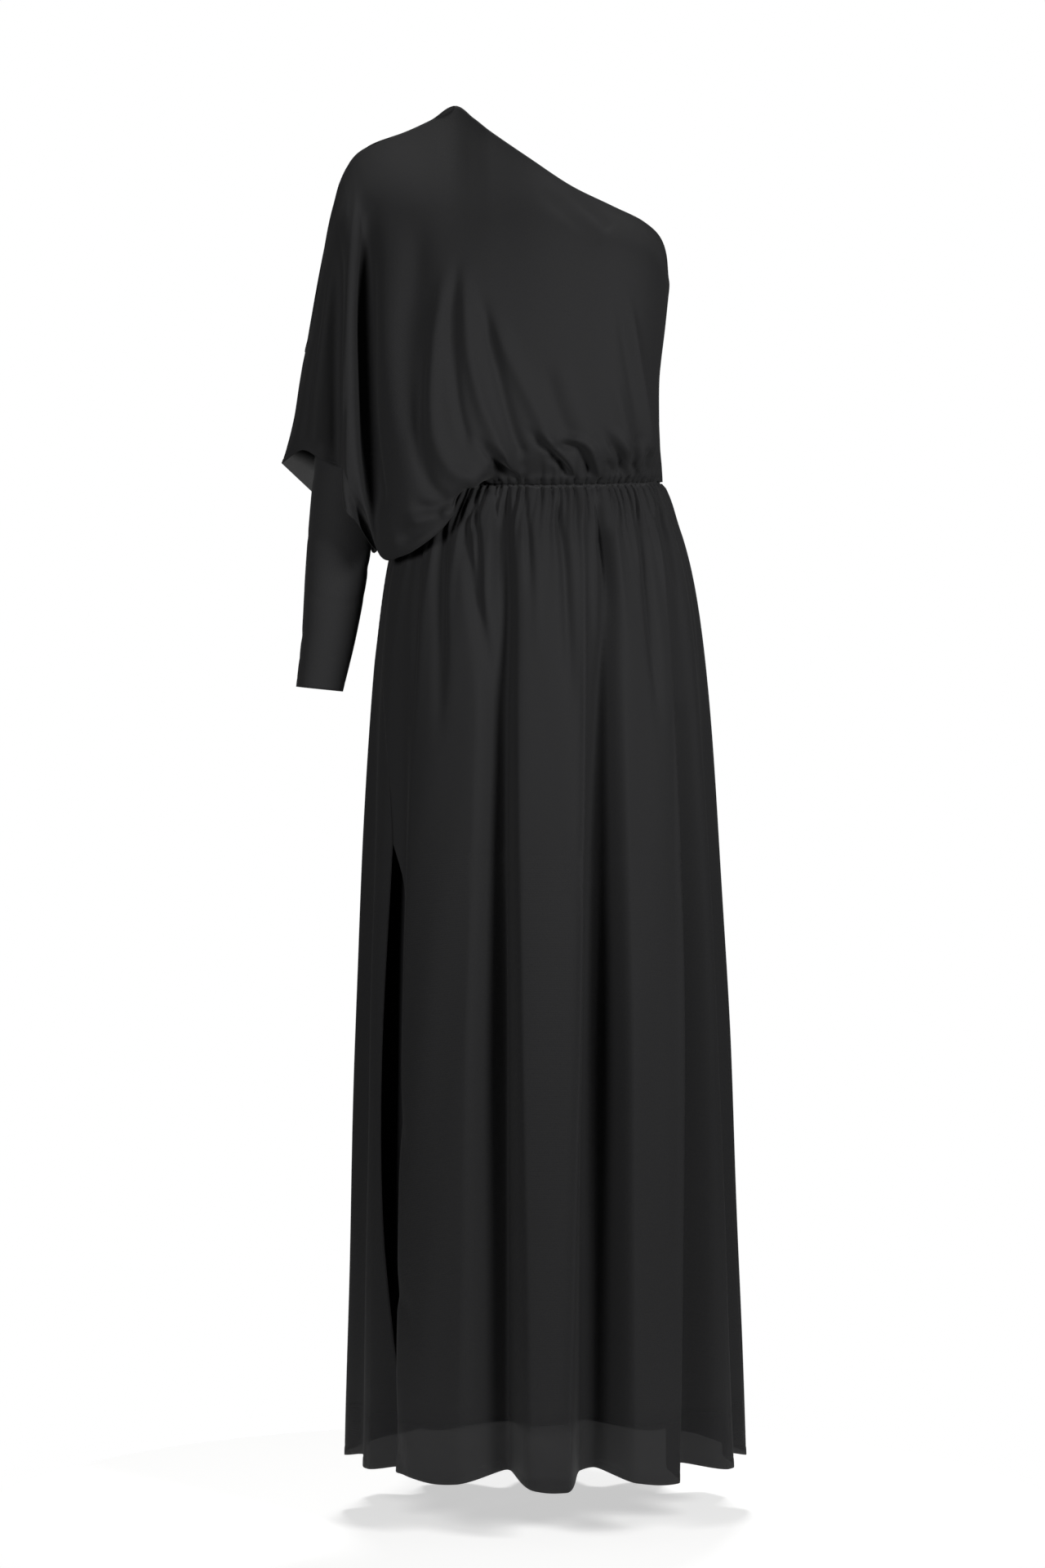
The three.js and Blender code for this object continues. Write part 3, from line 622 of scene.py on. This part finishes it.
# Soft creases across the sleeve: place along it, the side they are deepest on, depth and width.
sleeve_creases = [
    [0.44, 20, 0.9, 0.012],
    [0.52, 300, 1.1, 0.014],
    [0.6, 60, 1.2, 0.012],
    [0.655, 340, 1.0, 0.010],
    [0.72, 120, 1.1, 0.014],
    [0.79, 20, 0.8, 0.010],
    [0.87, 250, 0.8, 0.012],
    [0.93, 330, 0.6, 0.008],
]
sleeve_along = np.linspace(0, 1, 150)[:, None]
sleeve_round = np.radians(np.linspace(0, 360, 73))[None, :]
ring_count = len(sleeve_rings)
ring_curve = curve_through(np.arange(ring_count) / (ring_count - 1), sleeve_rings)
rings = np.moveaxis(ring_curve(sleeve_along[:, 0])[:, None, :], -1, 0)
ring_x, ring_y, ring_height, ring_width, ring_depth, ring_tilt, ring_peak = rings
sleeve_lift = 0 * sleeve_along * sleeve_round
for place, side, depth, width in sleeve_creases:
    reach = 0.5 + 0.5 * np.cos(sleeve_round - np.radians(side))
    slant = place + 0.012 * np.sin(sleeve_round * 2 + side)
    sleeve_lift = sleeve_lift - depth * reach**2 * np.exp(-(((sleeve_along - slant) / width) ** 2))
# The groove of the wrist hem's stitching, as a share of the sleeve's length.
sleeve_hem = 0.978
groove_depth = 0.4
groove_half_width = 0.002
groove = np.exp(-(((sleeve_along - sleeve_hem) / groove_half_width) ** 2))
sleeve_lift = sleeve_lift - groove_depth * groove
sleeve_tilt = np.radians(ring_tilt)
sleeve_skew = 1 + ring_peak * np.sin(sleeve_round)
sleeve_out = (ring_width + sleeve_lift) * np.sin(sleeve_round)
sleeve_grid = np.stack(
    [
        ring_x + sleeve_out * np.cos(sleeve_tilt),
        ring_y - (ring_depth + sleeve_lift) * np.cos(sleeve_round) * sleeve_skew,
        ring_height - sleeve_out * np.sin(sleeve_tilt),
    ],
    -1,
)
sleeve_grid[:, -1] = sleeve_grid[:, 0]
sleeve_thickness = 0.8
fitted_sleeve = cloth_piece("fitted_sleeve_cloth", sleeve_grid, sleeve_thickness, closed=True)

# Polyester jersey, black, a fine single knit. Its wales run down the arm 0.5 mm apart, too fine to
# show, so they are drawn at 1.5 mm and the unevenness of its courses at 1.8 mm. It is softer and a
# little smoother than the crepe.
jersey = new_material("polyester_jersey")
wale_spacing = 0.0015
course_size = 0.0018
jersey_uv = add_node(jersey, "ShaderNodeUVMap", uv_map="cloth")
wales = add_node(
    jersey,
    "ShaderNodeTexWave",
    {
        "Vector": jersey_uv.outputs["UV"],
        "Scale": wave_length / wale_spacing,
        "Distortion": 0.6,
        "Detail": 1.0,
    },
    bands_direction="X",
)
courses = add_node(
    jersey,
    "ShaderNodeTexNoise",
    {"Vector": jersey_uv.outputs["UV"], "Scale": 1 / course_size, "Detail": 2.0, "Roughness": 0.5},
)
knit = add_node(
    jersey, "ShaderNodeMath", {0: wales.outputs["Fac"], 1: courses.outputs["Fac"]}, operation="ADD"
)
knit_bump = add_node(
    jersey, "ShaderNodeBump", {"Height": knit.outputs[0], "Strength": 0.25, "Distance": 0.0003}
)
jersey_colour = add_node(
    jersey,
    "ShaderNodeMix",
    {"Factor": courses.outputs["Fac"], "A": linear("#1a1a1b"), "B": linear("#212122")},
    data_type="RGBA",
)
jersey_surface = add_node(
    jersey,
    "ShaderNodeBsdfPrincipled",
    {
        "Base Color": jersey_colour.outputs["Result"],
        "Roughness": 0.8,
        "IOR": 1.5,
        "Specular IOR Level": 0.25,
        "Sheen Weight": 0.08,
        "Sheen Roughness": 0.5,
        "Normal": knit_bump.outputs["Normal"],
    },
)
add_node(jersey, "ShaderNodeOutputMaterial", {"Surface": jersey_surface.outputs["BSDF"]})
fitted_sleeve.data.materials.append(jersey)
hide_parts("fitted_sleeve")
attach(fitted_sleeve, "root")

# ---- Bodice ----
# Front and back of georgette crepe, each cut in one with its half of the wide sleeve. They are
# seamed along the shoulder and the top of the arm, at the wearer's left side and under the arm,
# gathered onto the casing, and left to hang in deep soft folds.

# How far down each line its five points lie, as shares of its length.
levels = [0, 0.25, 0.55, 0.86, 1]
foot_clear = 2.2
foot_overlap = 2.1
seam_rounding = 1.6
neck_rise = 1.0
sleeve_hem_band = 6
neck_point = [-96, 0, 1498]
shoulder_point = [-150, 0, 1471]


def foot_height(angle):
    return waist_height - waist_dip_at(angle) + casing_height / 2 + seam_gap


def waist_foot(angle, clear=0.0):
    a = np.radians(angle)
    half_depth = waist_half_front if np.cos(a) > 0 else waist_half_back
    x = (waist_half_width + clear) * np.sin(a)
    return [x, -(half_depth + clear) * np.cos(a), foot_height(angle)]


def low_foot(angle):
    return waist_foot(angle, foot_clear)


underarm_foot = low_foot(-90)
inner_corner = [-182, 0, 1009]
outer_corner = [-288, 0, 1105]
# Lines down the cloth, from the wearer's left side seam (0) to the fold over the arm (1).
front_lines = [
    [0, [141, 0, 1305], [136, 0, 1258], [128, 0, 1190], [130, 0, 1122], waist_foot(90)],
    [0.09, [131, -45, 1344], [133, -58, 1290], [125, -62, 1200], [124, -58, 1122], waist_foot(62)],
    [0.17, [110, -76, 1363], [115, -94, 1310], [106, -98, 1205], [103, -92, 1122], waist_foot(44)],
    [0.25, [74, -94, 1379], [80, -118, 1325], [74, -121, 1210], [68, -113, 1120], waist_foot(27)],
    [0.33, [30, -99, 1400], [38, -126, 1338], [34, -130, 1215], [30, -120, 1118], waist_foot(12)],
    [0.41, [-14, -92, 1430], [-6, -126, 1350], [-10, -132, 1220], [-8, -124, 1118], waist_foot(-3)],
    [0.48, [-58, -60, 1464], [-54, -112, 1362], [-56, -130, 1232], [-44, -128, 1116], waist_foot(-18)],
    [0.51, [-77, -33, 1482], [-76, -101, 1368], [-79, -127, 1236], [-64, -131, 1096], low_foot(-25)],
    [0.54, neck_point, [-98, -88, 1375], [-102, -122, 1240], [-80, -130, 1075], low_foot(-33)],
    [0.57, [-124, 0, 1483], [-121, -78, 1379], [-126, -114, 1237], [-92, -128, 1062], low_foot(-41)],
    [0.6, shoulder_point, [-142, -70, 1380], [-146, -104, 1235], [-106, -124, 1036], low_foot(-50)],
    [0.66, [-182, 0, 1459], [-168, -58, 1378], [-172, -88, 1225], [-131, -112, 1014], low_foot(-70)],
    [0.71, [-200, 0, 1450], [-186, -48, 1375], [-186, -62, 1215], [-156, -88, 1001], underarm_foot],
    [0.76, [-210, 0, 1441], [-198, -44, 1368], [-197, -52, 1200], [-178, -66, 1004], [-168, 0, 1046]],
    [0.8, [-217, 0, 1430], [-206, -54, 1350], [-206, -76, 1190], [-196, -84, 1056], inner_corner],
    [0.84, [-222, 0, 1420], [-214, -56, 1340], [-215, -84, 1190], [-212, -88, 1080], [-203, -82, 1038]],
    [0.87, [-226, 0, 1408], [-221, -48, 1330], [-221, -78, 1190], [-219, -85, 1090], [-216.5, -84, 1053]],
    [0.9, [-230, 0, 1394], [-226, -34, 1320], [-224, -38, 1190], [-221, -36, 1120], [-219.5, -34, 1095]],
    [0.94, [-238, 0, 1360], [-240, -28, 1290], [-242, -34, 1190], [-243, -35, 1135], [-243, -34, 1107]],
    [0.97, [-250, 0, 1290], [-254, -20, 1235], [-260, -26, 1175], [-263, -27, 1140], [-264, -25, 1118]],
    [1, [-262, 0, 1228], [-268, 0, 1192], [-274, 0, 1156], [-283, 0, 1120], outer_corner],
]
back_lines = [
    [0, [141, 0, 1305], [136, 0, 1258], [128, 0, 1190], [130, 0, 1122], waist_foot(90)],
    [0.1, [132, 42, 1343], [132, 56, 1288], [125, 62, 1200], [124, 60, 1122], waist_foot(118)],
    [0.2, [106, 78, 1366], [109, 94, 1302], [103, 100, 1205], [98, 96, 1122], waist_foot(140)],
    [0.3, [58, 97, 1395], [62, 112, 1322], [58, 118, 1212], [52, 113, 1120], waist_foot(160)],
    [0.4, [4, 96, 1426], [8, 116, 1338], [6, 122, 1218], [4, 118, 1120], waist_foot(179)],
    [0.5, [-50, 66, 1463], [-48, 106, 1356], [-50, 120, 1230], [-46, 118, 1118], waist_foot(199)],
    [0.57, neck_point, [-98, 86, 1375], [-102, 114, 1240], [-86, 118, 1112], low_foot(219)],
    [0.605, [-124, 0, 1483], [-122, 79, 1378], [-127, 111, 1238], [-104, 116, 1102], low_foot(231)],
    [0.64, shoulder_point, [-146, 72, 1380], [-152, 106, 1235], [-124, 112, 1090], low_foot(243)],
    [0.71, [-190, 0, 1456], [-184, 62, 1372], [-190, 94, 1222], [-160, 94, 1068], underarm_foot],
    [0.78, [-212, 0, 1437], [-208, 56, 1350], [-214, 84, 1205], [-192, 78, 1060], inner_corner],
    [0.83, [-221, 0, 1422], [-219, 55, 1336], [-228, 82, 1197], [-214, 78, 1076], [-196, 52, 1021]],
    [0.88, [-229, 0, 1398], [-232, 50, 1318], [-242, 73, 1188], [-238, 70, 1100], [-224, 63, 1045]],
    [0.94, [-246, 0, 1318], [-252, 34, 1250], [-262, 52, 1170], [-266, 50, 1115], [-258, 42, 1077]],
    [1, [-262, 0, 1228], [-268, 0, 1192], [-274, 0, 1156], [-283, 0, 1120], outer_corner],
]
# Folds and creases on each side: how far the cloth rises (or sinks, below 0), how wide the fold is
# on each side of its path, and the path as [x, height] points.
front_creases = [
    [7, 11, 9, [[-98, 1335], [-106, 1280], [-117, 1216], [-118, 1143], [-98, 1092], [-66, 1081]]],
    [-5, 6, 6, [[-92, 1330], [-98, 1275], [-97, 1216], [-92, 1162], [-80, 1112]]],
    [7, 8, 8, [[-84, 1325], [-82, 1270], [-78, 1210], [-60, 1143], [-30, 1092]]],
    [-6.5, 6, 7, [[-70, 1290], [-60, 1245], [-48, 1190], [-33, 1133], [-20, 1102]]],
    [5.5, 9, 10, [[-58, 1270], [-44, 1230], [-24, 1186], [-5, 1148], [12, 1110]]],
    [-7, 6, 7, [[-147, 1058], [-130, 1051], [-110, 1053], [-92, 1061], [-74, 1074]]],
    [-6, 14, 16, [[-141, 1387], [-140, 1309], [-143, 1221], [-137, 1123]]],
    [-5, 7, 8, [[-122, 1250], [-134, 1190], [-136, 1130], [-124, 1078], [-100, 1056]]],
    [5, 4, 9, [[-203, 1411], [-208, 1336], [-211, 1248], [-211, 1142], [-213, 1060]]],
    [-9, 8, 9, [[-190, 1400], [-192, 1312], [-192, 1223], [-188, 1126], [-177, 1040]]],
    [-5, 5, 6, [[-221, 1380], [-224, 1300], [-226, 1210], [-226, 1110]]],
    [3, 6, 7, [[-231, 1340], [-240, 1251], [-248, 1162], [-250, 1120]]],
    [-4, 4, 5, [[-236, 1330], [-248, 1251], [-258, 1180], [-264, 1125]]],
    [5, 7, 4, [[91, 1290], [101, 1218], [113, 1156], [121, 1108]]],
    [-3, 6, 9, [[78, 1290], [90, 1215], [102, 1150], [108, 1110]]],
    [-1.6, 9, 12, [[-6, 1395], [29, 1364], [64, 1336]]],
    [-1.4, 6, 8, [[22, 1398], [50, 1372], [73, 1350]]],
    [3, 7, 6, [[74, 1200], [87, 1142], [98, 1112]]],
    [2.4, 11, 10, [[13, 1219], [30, 1166], [49, 1120]]],
    [-2.5, 8, 8, [[0, 1210], [14, 1160], [30, 1122]]],
    [-5, 6, 7, [[-162, 1020], [-146, 1020], [-128, 1030], [-106, 1046]]],
    [4, 5, 6, [[-152, 1042], [-134, 1036], [-114, 1040], [-96, 1050]]],
    [-6, 3.5, 5, [[-74, 1130], [-58, 1108], [-43, 1093], [-28, 1082]]],
    [5, 5, 5, [[-62, 1130], [-48, 1112], [-34, 1098], [-20, 1084]]],
    [-4, 3, 4, [[-60, 1097], [-42, 1086], [-22, 1080]]],
    [-6, 3.5, 5, [[-20, 1140], [-5, 1121], [9, 1108], [21, 1094], [28, 1082]]],
    [5, 5, 5, [[-8, 1142], [6, 1124], [18, 1112], [30, 1098], [37, 1082]]],
    [-7, 3, 5, [[8, 1118], [24, 1117], [38, 1112], [46, 1099], [51, 1082]]],
    [6, 5, 5, [[14, 1126], [34, 1125], [51, 1116], [58, 1099], [62, 1082]]],
    [-4, 3, 4, [[-1, 1107], [13, 1100], [25, 1090], [32, 1081]]],
    [-6, 3, 5, [[62, 1140], [74, 1119], [82, 1107], [84, 1094], [86, 1082]]],
    [5, 5, 5, [[72, 1140], [84, 1124], [93, 1108], [94, 1095], [95, 1082]]],
    [-4, 3, 4, [[67, 1104], [74, 1093], [76, 1081]]],
    [-5, 3.5, 4, [[102, 1134], [100, 1116], [97, 1101], [101, 1083]]],
    [3.5, 4, 4, [[110, 1130], [108, 1114], [106, 1100], [108, 1083]]],
    [-4, 3, 4, [[119, 1120], [115, 1104], [114, 1094], [116, 1083]]],
]
back_creases = [
    [8, 12, 10, [[-70, 1290], [-84, 1220], [-92, 1150], [-84, 1105]]],
    [-7, 8, 8, [[-52, 1280], [-62, 1210], [-64, 1150], [-54, 1100]]],
    [6, 9, 9, [[-30, 1250], [-30, 1190], [-26, 1140], [-18, 1104]]],
    [-5, 8, 8, [[6, 1240], [10, 1180], [12, 1130], [16, 1100]]],
    [4, 9, 9, [[44, 1250], [40, 1180], [36, 1120], [34, 1100]]],
    [-5, 7, 8, [[78, 1240], [72, 1175], [66, 1125], [62, 1098]]],
    [4, 8, 6, [[104, 1250], [104, 1190], [100, 1130], [96, 1100]]],
    [-8, 16, 16, [[-150, 1390], [-152, 1310], [-152, 1225], [-142, 1120]]],
    [6, 11, 9, [[-196, 1380], [-204, 1300], [-206, 1200], [-198, 1100]]],
    [-6, 9, 9, [[-218, 1350], [-226, 1270], [-230, 1180], [-222, 1100]]],
    [-4.5, 4, 5, [[-66, 1126], [-56, 1108], [-44, 1094], [-36, 1082]]],
    [-4, 4, 4, [[-20, 1120], [-14, 1108], [-4, 1096], [0, 1084]]],
    [-4.5, 4, 5, [[14, 1128], [24, 1112], [30, 1098], [34, 1084]]],
    [3.5, 5, 5, [[24, 1130], [34, 1114], [40, 1100], [44, 1084]]],
    [-4, 4, 4, [[58, 1118], [66, 1108], [72, 1096], [72, 1084]]],
    [-4, 4, 4, [[92, 1126], [90, 1110], [94, 1096], [96, 1084]]],
    [-3, 4, 4, [[114, 1116], [110, 1104], [112, 1094], [114, 1084]]],
    [-4, 5, 5, [[-112, 1096], [-98, 1084], [-84, 1078], [-72, 1080]]],
]


def crease_lift(creases, x, z):
    total = np.zeros(x.shape)
    steps = 20
    for rise, left, right, path in creases:
        knots = np.arange(len(path)) / (len(path) - 1)
        curve = curve_through(knots, path)(np.arange(steps + 1) / steps)
        best = np.full(x.shape, 1e9)
        along = np.zeros(x.shape)
        side = np.zeros(x.shape)
        for i in range(steps):
            ax, az = curve[i]
            ex, ez = curve[i + 1] - curve[i]
            t = np.clip(((x - ax) * ex + (z - az) * ez) / (ex * ex + ez * ez), 0, 1)
            gap = np.hypot(x - ax - t * ex, z - az - t * ez)
            nearer = gap < best
            best = np.where(nearer, gap, best)
            along = np.where(nearer, (i + t) / steps, along)
            side = np.where(nearer, np.sign(ex * (z - az) - ez * (x - ax)), side)
        ends = ease(along / 0.3) * ease((1 - along) / 0.12 + 0.15)
        total += rise * ends * np.exp(-((best / np.where(side > 0, right, left)) ** 2))
    return total


def outward_of(grid, side):
    normal = -side * np.cross(np.gradient(grid, axis=0), np.gradient(grid, axis=1))
    return normal / np.linalg.norm(normal, axis=-1, keepdims=True)


def waist_angle(points):
    x, y = points[..., 0], points[..., 1]
    return np.degrees(np.arctan2(x / waist_half_width, -y / waist_half_front))


def clear_of_ring(points, drop, clear, where):
    """Moves points outwards, where they need it, until they clear the skirt's ring at a drop."""
    half_width, half_front, half_back = skirt_ring(drop)
    half_depth = np.where(points[..., 1] < 0, half_front, half_back) + clear
    share = np.hypot(points[..., 0] / (half_width + clear), points[..., 1] / half_depth)
    inside = where & (share < 1)
    grown = np.where(inside, share, 1.0)
    return points / np.stack([grown, grown, np.ones_like(grown)], -1)


def bodice_panel(lines, creases, columns, rows, side):
    """Half of the bodice, front (side 1) or back (-1), and how sheer it looks at each point."""
    knots = np.array([line[0] for line in lines], float)
    down = curve_through(levels, np.array([line[1:] for line in lines], float).transpose(1, 0, 2))
    neck_across = knots[[line[1] is neck_point for line in lines].index(True)]
    waist_across = knots[[line[5] is underarm_foot for line in lines].index(True)]
    corner_across = knots[[line[5] is inner_corner for line in lines].index(True)]
    # Columns at even steps over the cloth, which is long in the deep folds of the wide sleeve.
    fine = np.linspace(0, 1, 1500)
    probe = curve_through(knots, down(np.array([0.25, 0.55, 0.86])).transpose(1, 0, 2))(fine)
    walk = np.linalg.norm(np.diff(probe, axis=0), axis=-1).mean(-1)
    walk = np.concatenate([[0], np.cumsum(walk)]) / walk.sum()
    across = np.interp(np.linspace(0, 1, columns), mix(walk, fine, 0.2), fine)
    level = np.linspace(0, 1, rows)
    base = curve_through(knots, down(level).transpose(1, 0, 2))(across).transpose(1, 0, 2)
    level, across = level[:, None], across[None, :]
    out = outward_of(base, side)
    lift = crease_lift(creases, base[..., 0], base[..., 2])
    lift = lift * ease(level / 0.12) * ease(across / 0.04) * ease((1 - across) / 0.05)
    # Creases sink into the waist seam, and small puckers take over there.
    at_waist = fade((across - waist_across + 0.12) / 0.1)
    lift = lift * mix(1, fade((level - 0.955) / 0.045), at_waist)
    up = (1 - level) * np.linalg.norm(np.diff(base, axis=0), axis=-1).sum(0)[None, :]
    pucker = 2.0 * np.exp(-(((up - 5) / 5) ** 2)) - 0.5 * np.exp(-up / 2)
    turn = waist_angle(base)
    for place, depth, reach in zip(gather_angles, gather_depths, gather_reaches):
        away = (turn - place + 180) % 360 - 180
        sunk = 0.75 * depth * np.exp(-up / (0.22 * reach + 3))
        pucker = pucker - sunk * np.exp(-((away / (gather_half_width + up / 30)) ** 2))
    lift = lift + pucker * at_waist * ease(across / 0.02)
    # Wide soft unevenness of hanging cloth.
    x, z = base[..., 0], base[..., 2]
    soft = np.sin(x / 23 + z / 61) * np.sin(z / 47 - x / 38)
    lift = lift + 0.8 * soft * ease(level / 0.1) * fade((level - 0.85) / 0.1)
    # The turned-up hem of the wide sleeve, with a shallow groove at its stitching.
    at_hem = ease((across - corner_across) / 0.02)
    past_hem = up - sleeve_hem_band
    lift = lift + at_hem * (0.3 * fade(past_hem / 1.2) - 0.4 * np.exp(-((past_hem / 1.3) ** 2)))
    shaped = base + out * lift[..., None]
    drop = waist_height - waist_dip_at(waist_angle(shaped)) - shaped[..., 2]
    hangs = drop >= -casing_height / 2
    shaped = clear_of_ring(shaped, np.maximum(drop, 0), 2.8 + 7 * ease(drop / 30), hangs)
    foot = (level == 1) & (across <= waist_across)
    low = foot & (across > neck_across - 0.05)
    shaped = clear_of_ring(shaped, np.zeros(low.shape), foot_clear, low)
    # The foot reaches down over the casing's top edge.
    foot_level = foot_height(waist_angle(shaped)) - foot_overlap
    shaped[..., 2] = np.where(foot, foot_level, shaped[..., 2])
    # The neckline rounds over into the side seam, and the shoulder seam ends in a point.
    shaped[..., 0] -= seam_rounding * np.exp(-level / 0.04) * fade(across / 0.06)
    at_neck = np.hypot(shaped[..., 0] - neck_point[0], shaped[..., 1] - neck_point[1])
    shaped[..., 2] += neck_rise * np.exp(-at_neck / 7) * fade(level / 0.06)
    on_shoulder = (level == 0) & (across >= neck_across)
    on_underarm = (level == 1) & (across >= waist_across) & (across <= corner_across)
    on_seam = on_shoulder | on_underarm | (across == 0) | (across == 1)
    shaped[..., 1] = np.where(on_seam, -side * seam_gap / 2, shaped[..., 1])
    return shaped, ease((across - corner_across) / 0.05) * ease((level - 0.8) / 0.12)


bodice_thickness = 0.7
front_points, front_sheer = bodice_panel(front_lines, front_creases, 270, 165, 1)
back_points, back_sheer = bodice_panel(back_lines, back_creases, 220, 130, -1)
bodice_front = cloth_piece("bodice_front_cloth", front_points, bodice_thickness, turned=False)
bodice_back = cloth_piece("bodice_back_cloth", back_points, bodice_thickness)
for piece, node, sheer in (
    (bodice_front, "bodice_front", front_sheer),
    (bodice_back, "bodice_back", back_sheer),
):
    piece.data.materials.append(georgette)
    mark_unlined(piece, 2 * sheer if node == "bodice_back" else 0 * sheer)
    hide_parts(node)
    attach(piece, "root")

# ---- Studio ----
# A pale round floor 57 mm under the hem, white surroundings and three soft lights: from the
# right and the left in front of the dress, and from above behind it.

dress_middle = 0.1275
floor_height = -1.5194
floor_radius = 0.6
floor_mesh = bpy.data.meshes.new("floor")
floor_sheet = bmesh.new()
bmesh.ops.create_circle(floor_sheet, cap_ends=True, segments=96, radius=floor_radius)
floor_place = (dress_middle, 0, floor_height)
bmesh.ops.translate(floor_sheet, verts=floor_sheet.verts, vec=floor_place)
floor_sheet.to_mesh(floor_mesh)
floor_sheet.free()
floor = bpy.data.objects.new("floor", floor_mesh)
bpy.context.scene.collection.objects.link(floor)
# Matt white paint on a smooth floor.
floor_paint = new_material("matt_white_paint")
floor_surface = add_node(
    floor_paint,
    "ShaderNodeBsdfPrincipled",
    {
        "Base Color": linear("#e8e8e7"),
        "Roughness": 0.9,
        "Specular IOR Level": 0.0,
        "Emission Color": (1, 1, 1, 1),
        "Emission Strength": 0.56,
    },
)
add_node(floor_paint, "ShaderNodeOutputMaterial", {"Surface": floor_surface.outputs["BSDF"]})
floor.data.materials.append(floor_paint)

# The surroundings are white to the camera and nearly dark to the dress, which the lights light.
world = bpy.data.worlds.new("studio")
bpy.context.scene.world = world
world.use_nodes = True
surroundings = world.node_tree.nodes["Background"]
surroundings.inputs["Color"].default_value = (1, 1, 1, 1)
seen_directly = world.node_tree.nodes.new("ShaderNodeLightPath")
brightness = world.node_tree.nodes.new("ShaderNodeMapRange")
brightness.inputs["To Min"].default_value = 0.03
brightness.inputs["To Max"].default_value = 1.0
world.node_tree.links.new(seen_directly.outputs["Is Camera Ray"], brightness.inputs["Value"])
world.node_tree.links.new(brightness.outputs["Result"], surroundings.inputs["Strength"])

# Each light's power in watts, size in metres, spread in degrees, place and aim.
for name, energy, size, spread, place, aim in (
    ("right_light", 19.5, 0.8, 110, (1.75, -1.75, -0.1), (0.13, 0, -0.42)),
    ("left_light", 13.2, 0.8, 110, (-1.1, -2.1, -0.1), (0.13, 0, -0.42)),
    ("top_light", 110, 0.8, 180, (0.13, 1.3, 3.9), (0.13, 0.0, -1.5)),
):
    light_data = bpy.data.lights.new(name, "AREA")
    light_data.shape = "DISK"
    light_data.size = size
    light_data.spread = np.radians(spread)
    light_data.energy = energy
    light = bpy.data.objects.new(name, light_data)
    bpy.context.scene.collection.objects.link(light)
    light.location = place
    towards = mathutils.Vector(aim) - light.location
    light.rotation_euler = towards.to_track_quat("-Z", "Y").to_euler()

camera_data = bpy.data.cameras.new("camera")
camera_data.sensor_width = 36
camera_data.lens = 104.17
camera_data.shift_y = -0.057
camera = bpy.data.objects.new("camera", camera_data)
bpy.context.scene.collection.objects.link(camera)
camera.location = (dress_middle, -5.0, -0.6194)
camera.rotation_euler = (np.pi / 2, 0, 0)
bpy.context.scene.camera = camera
bpy.context.scene.view_settings.view_transform = "Standard"
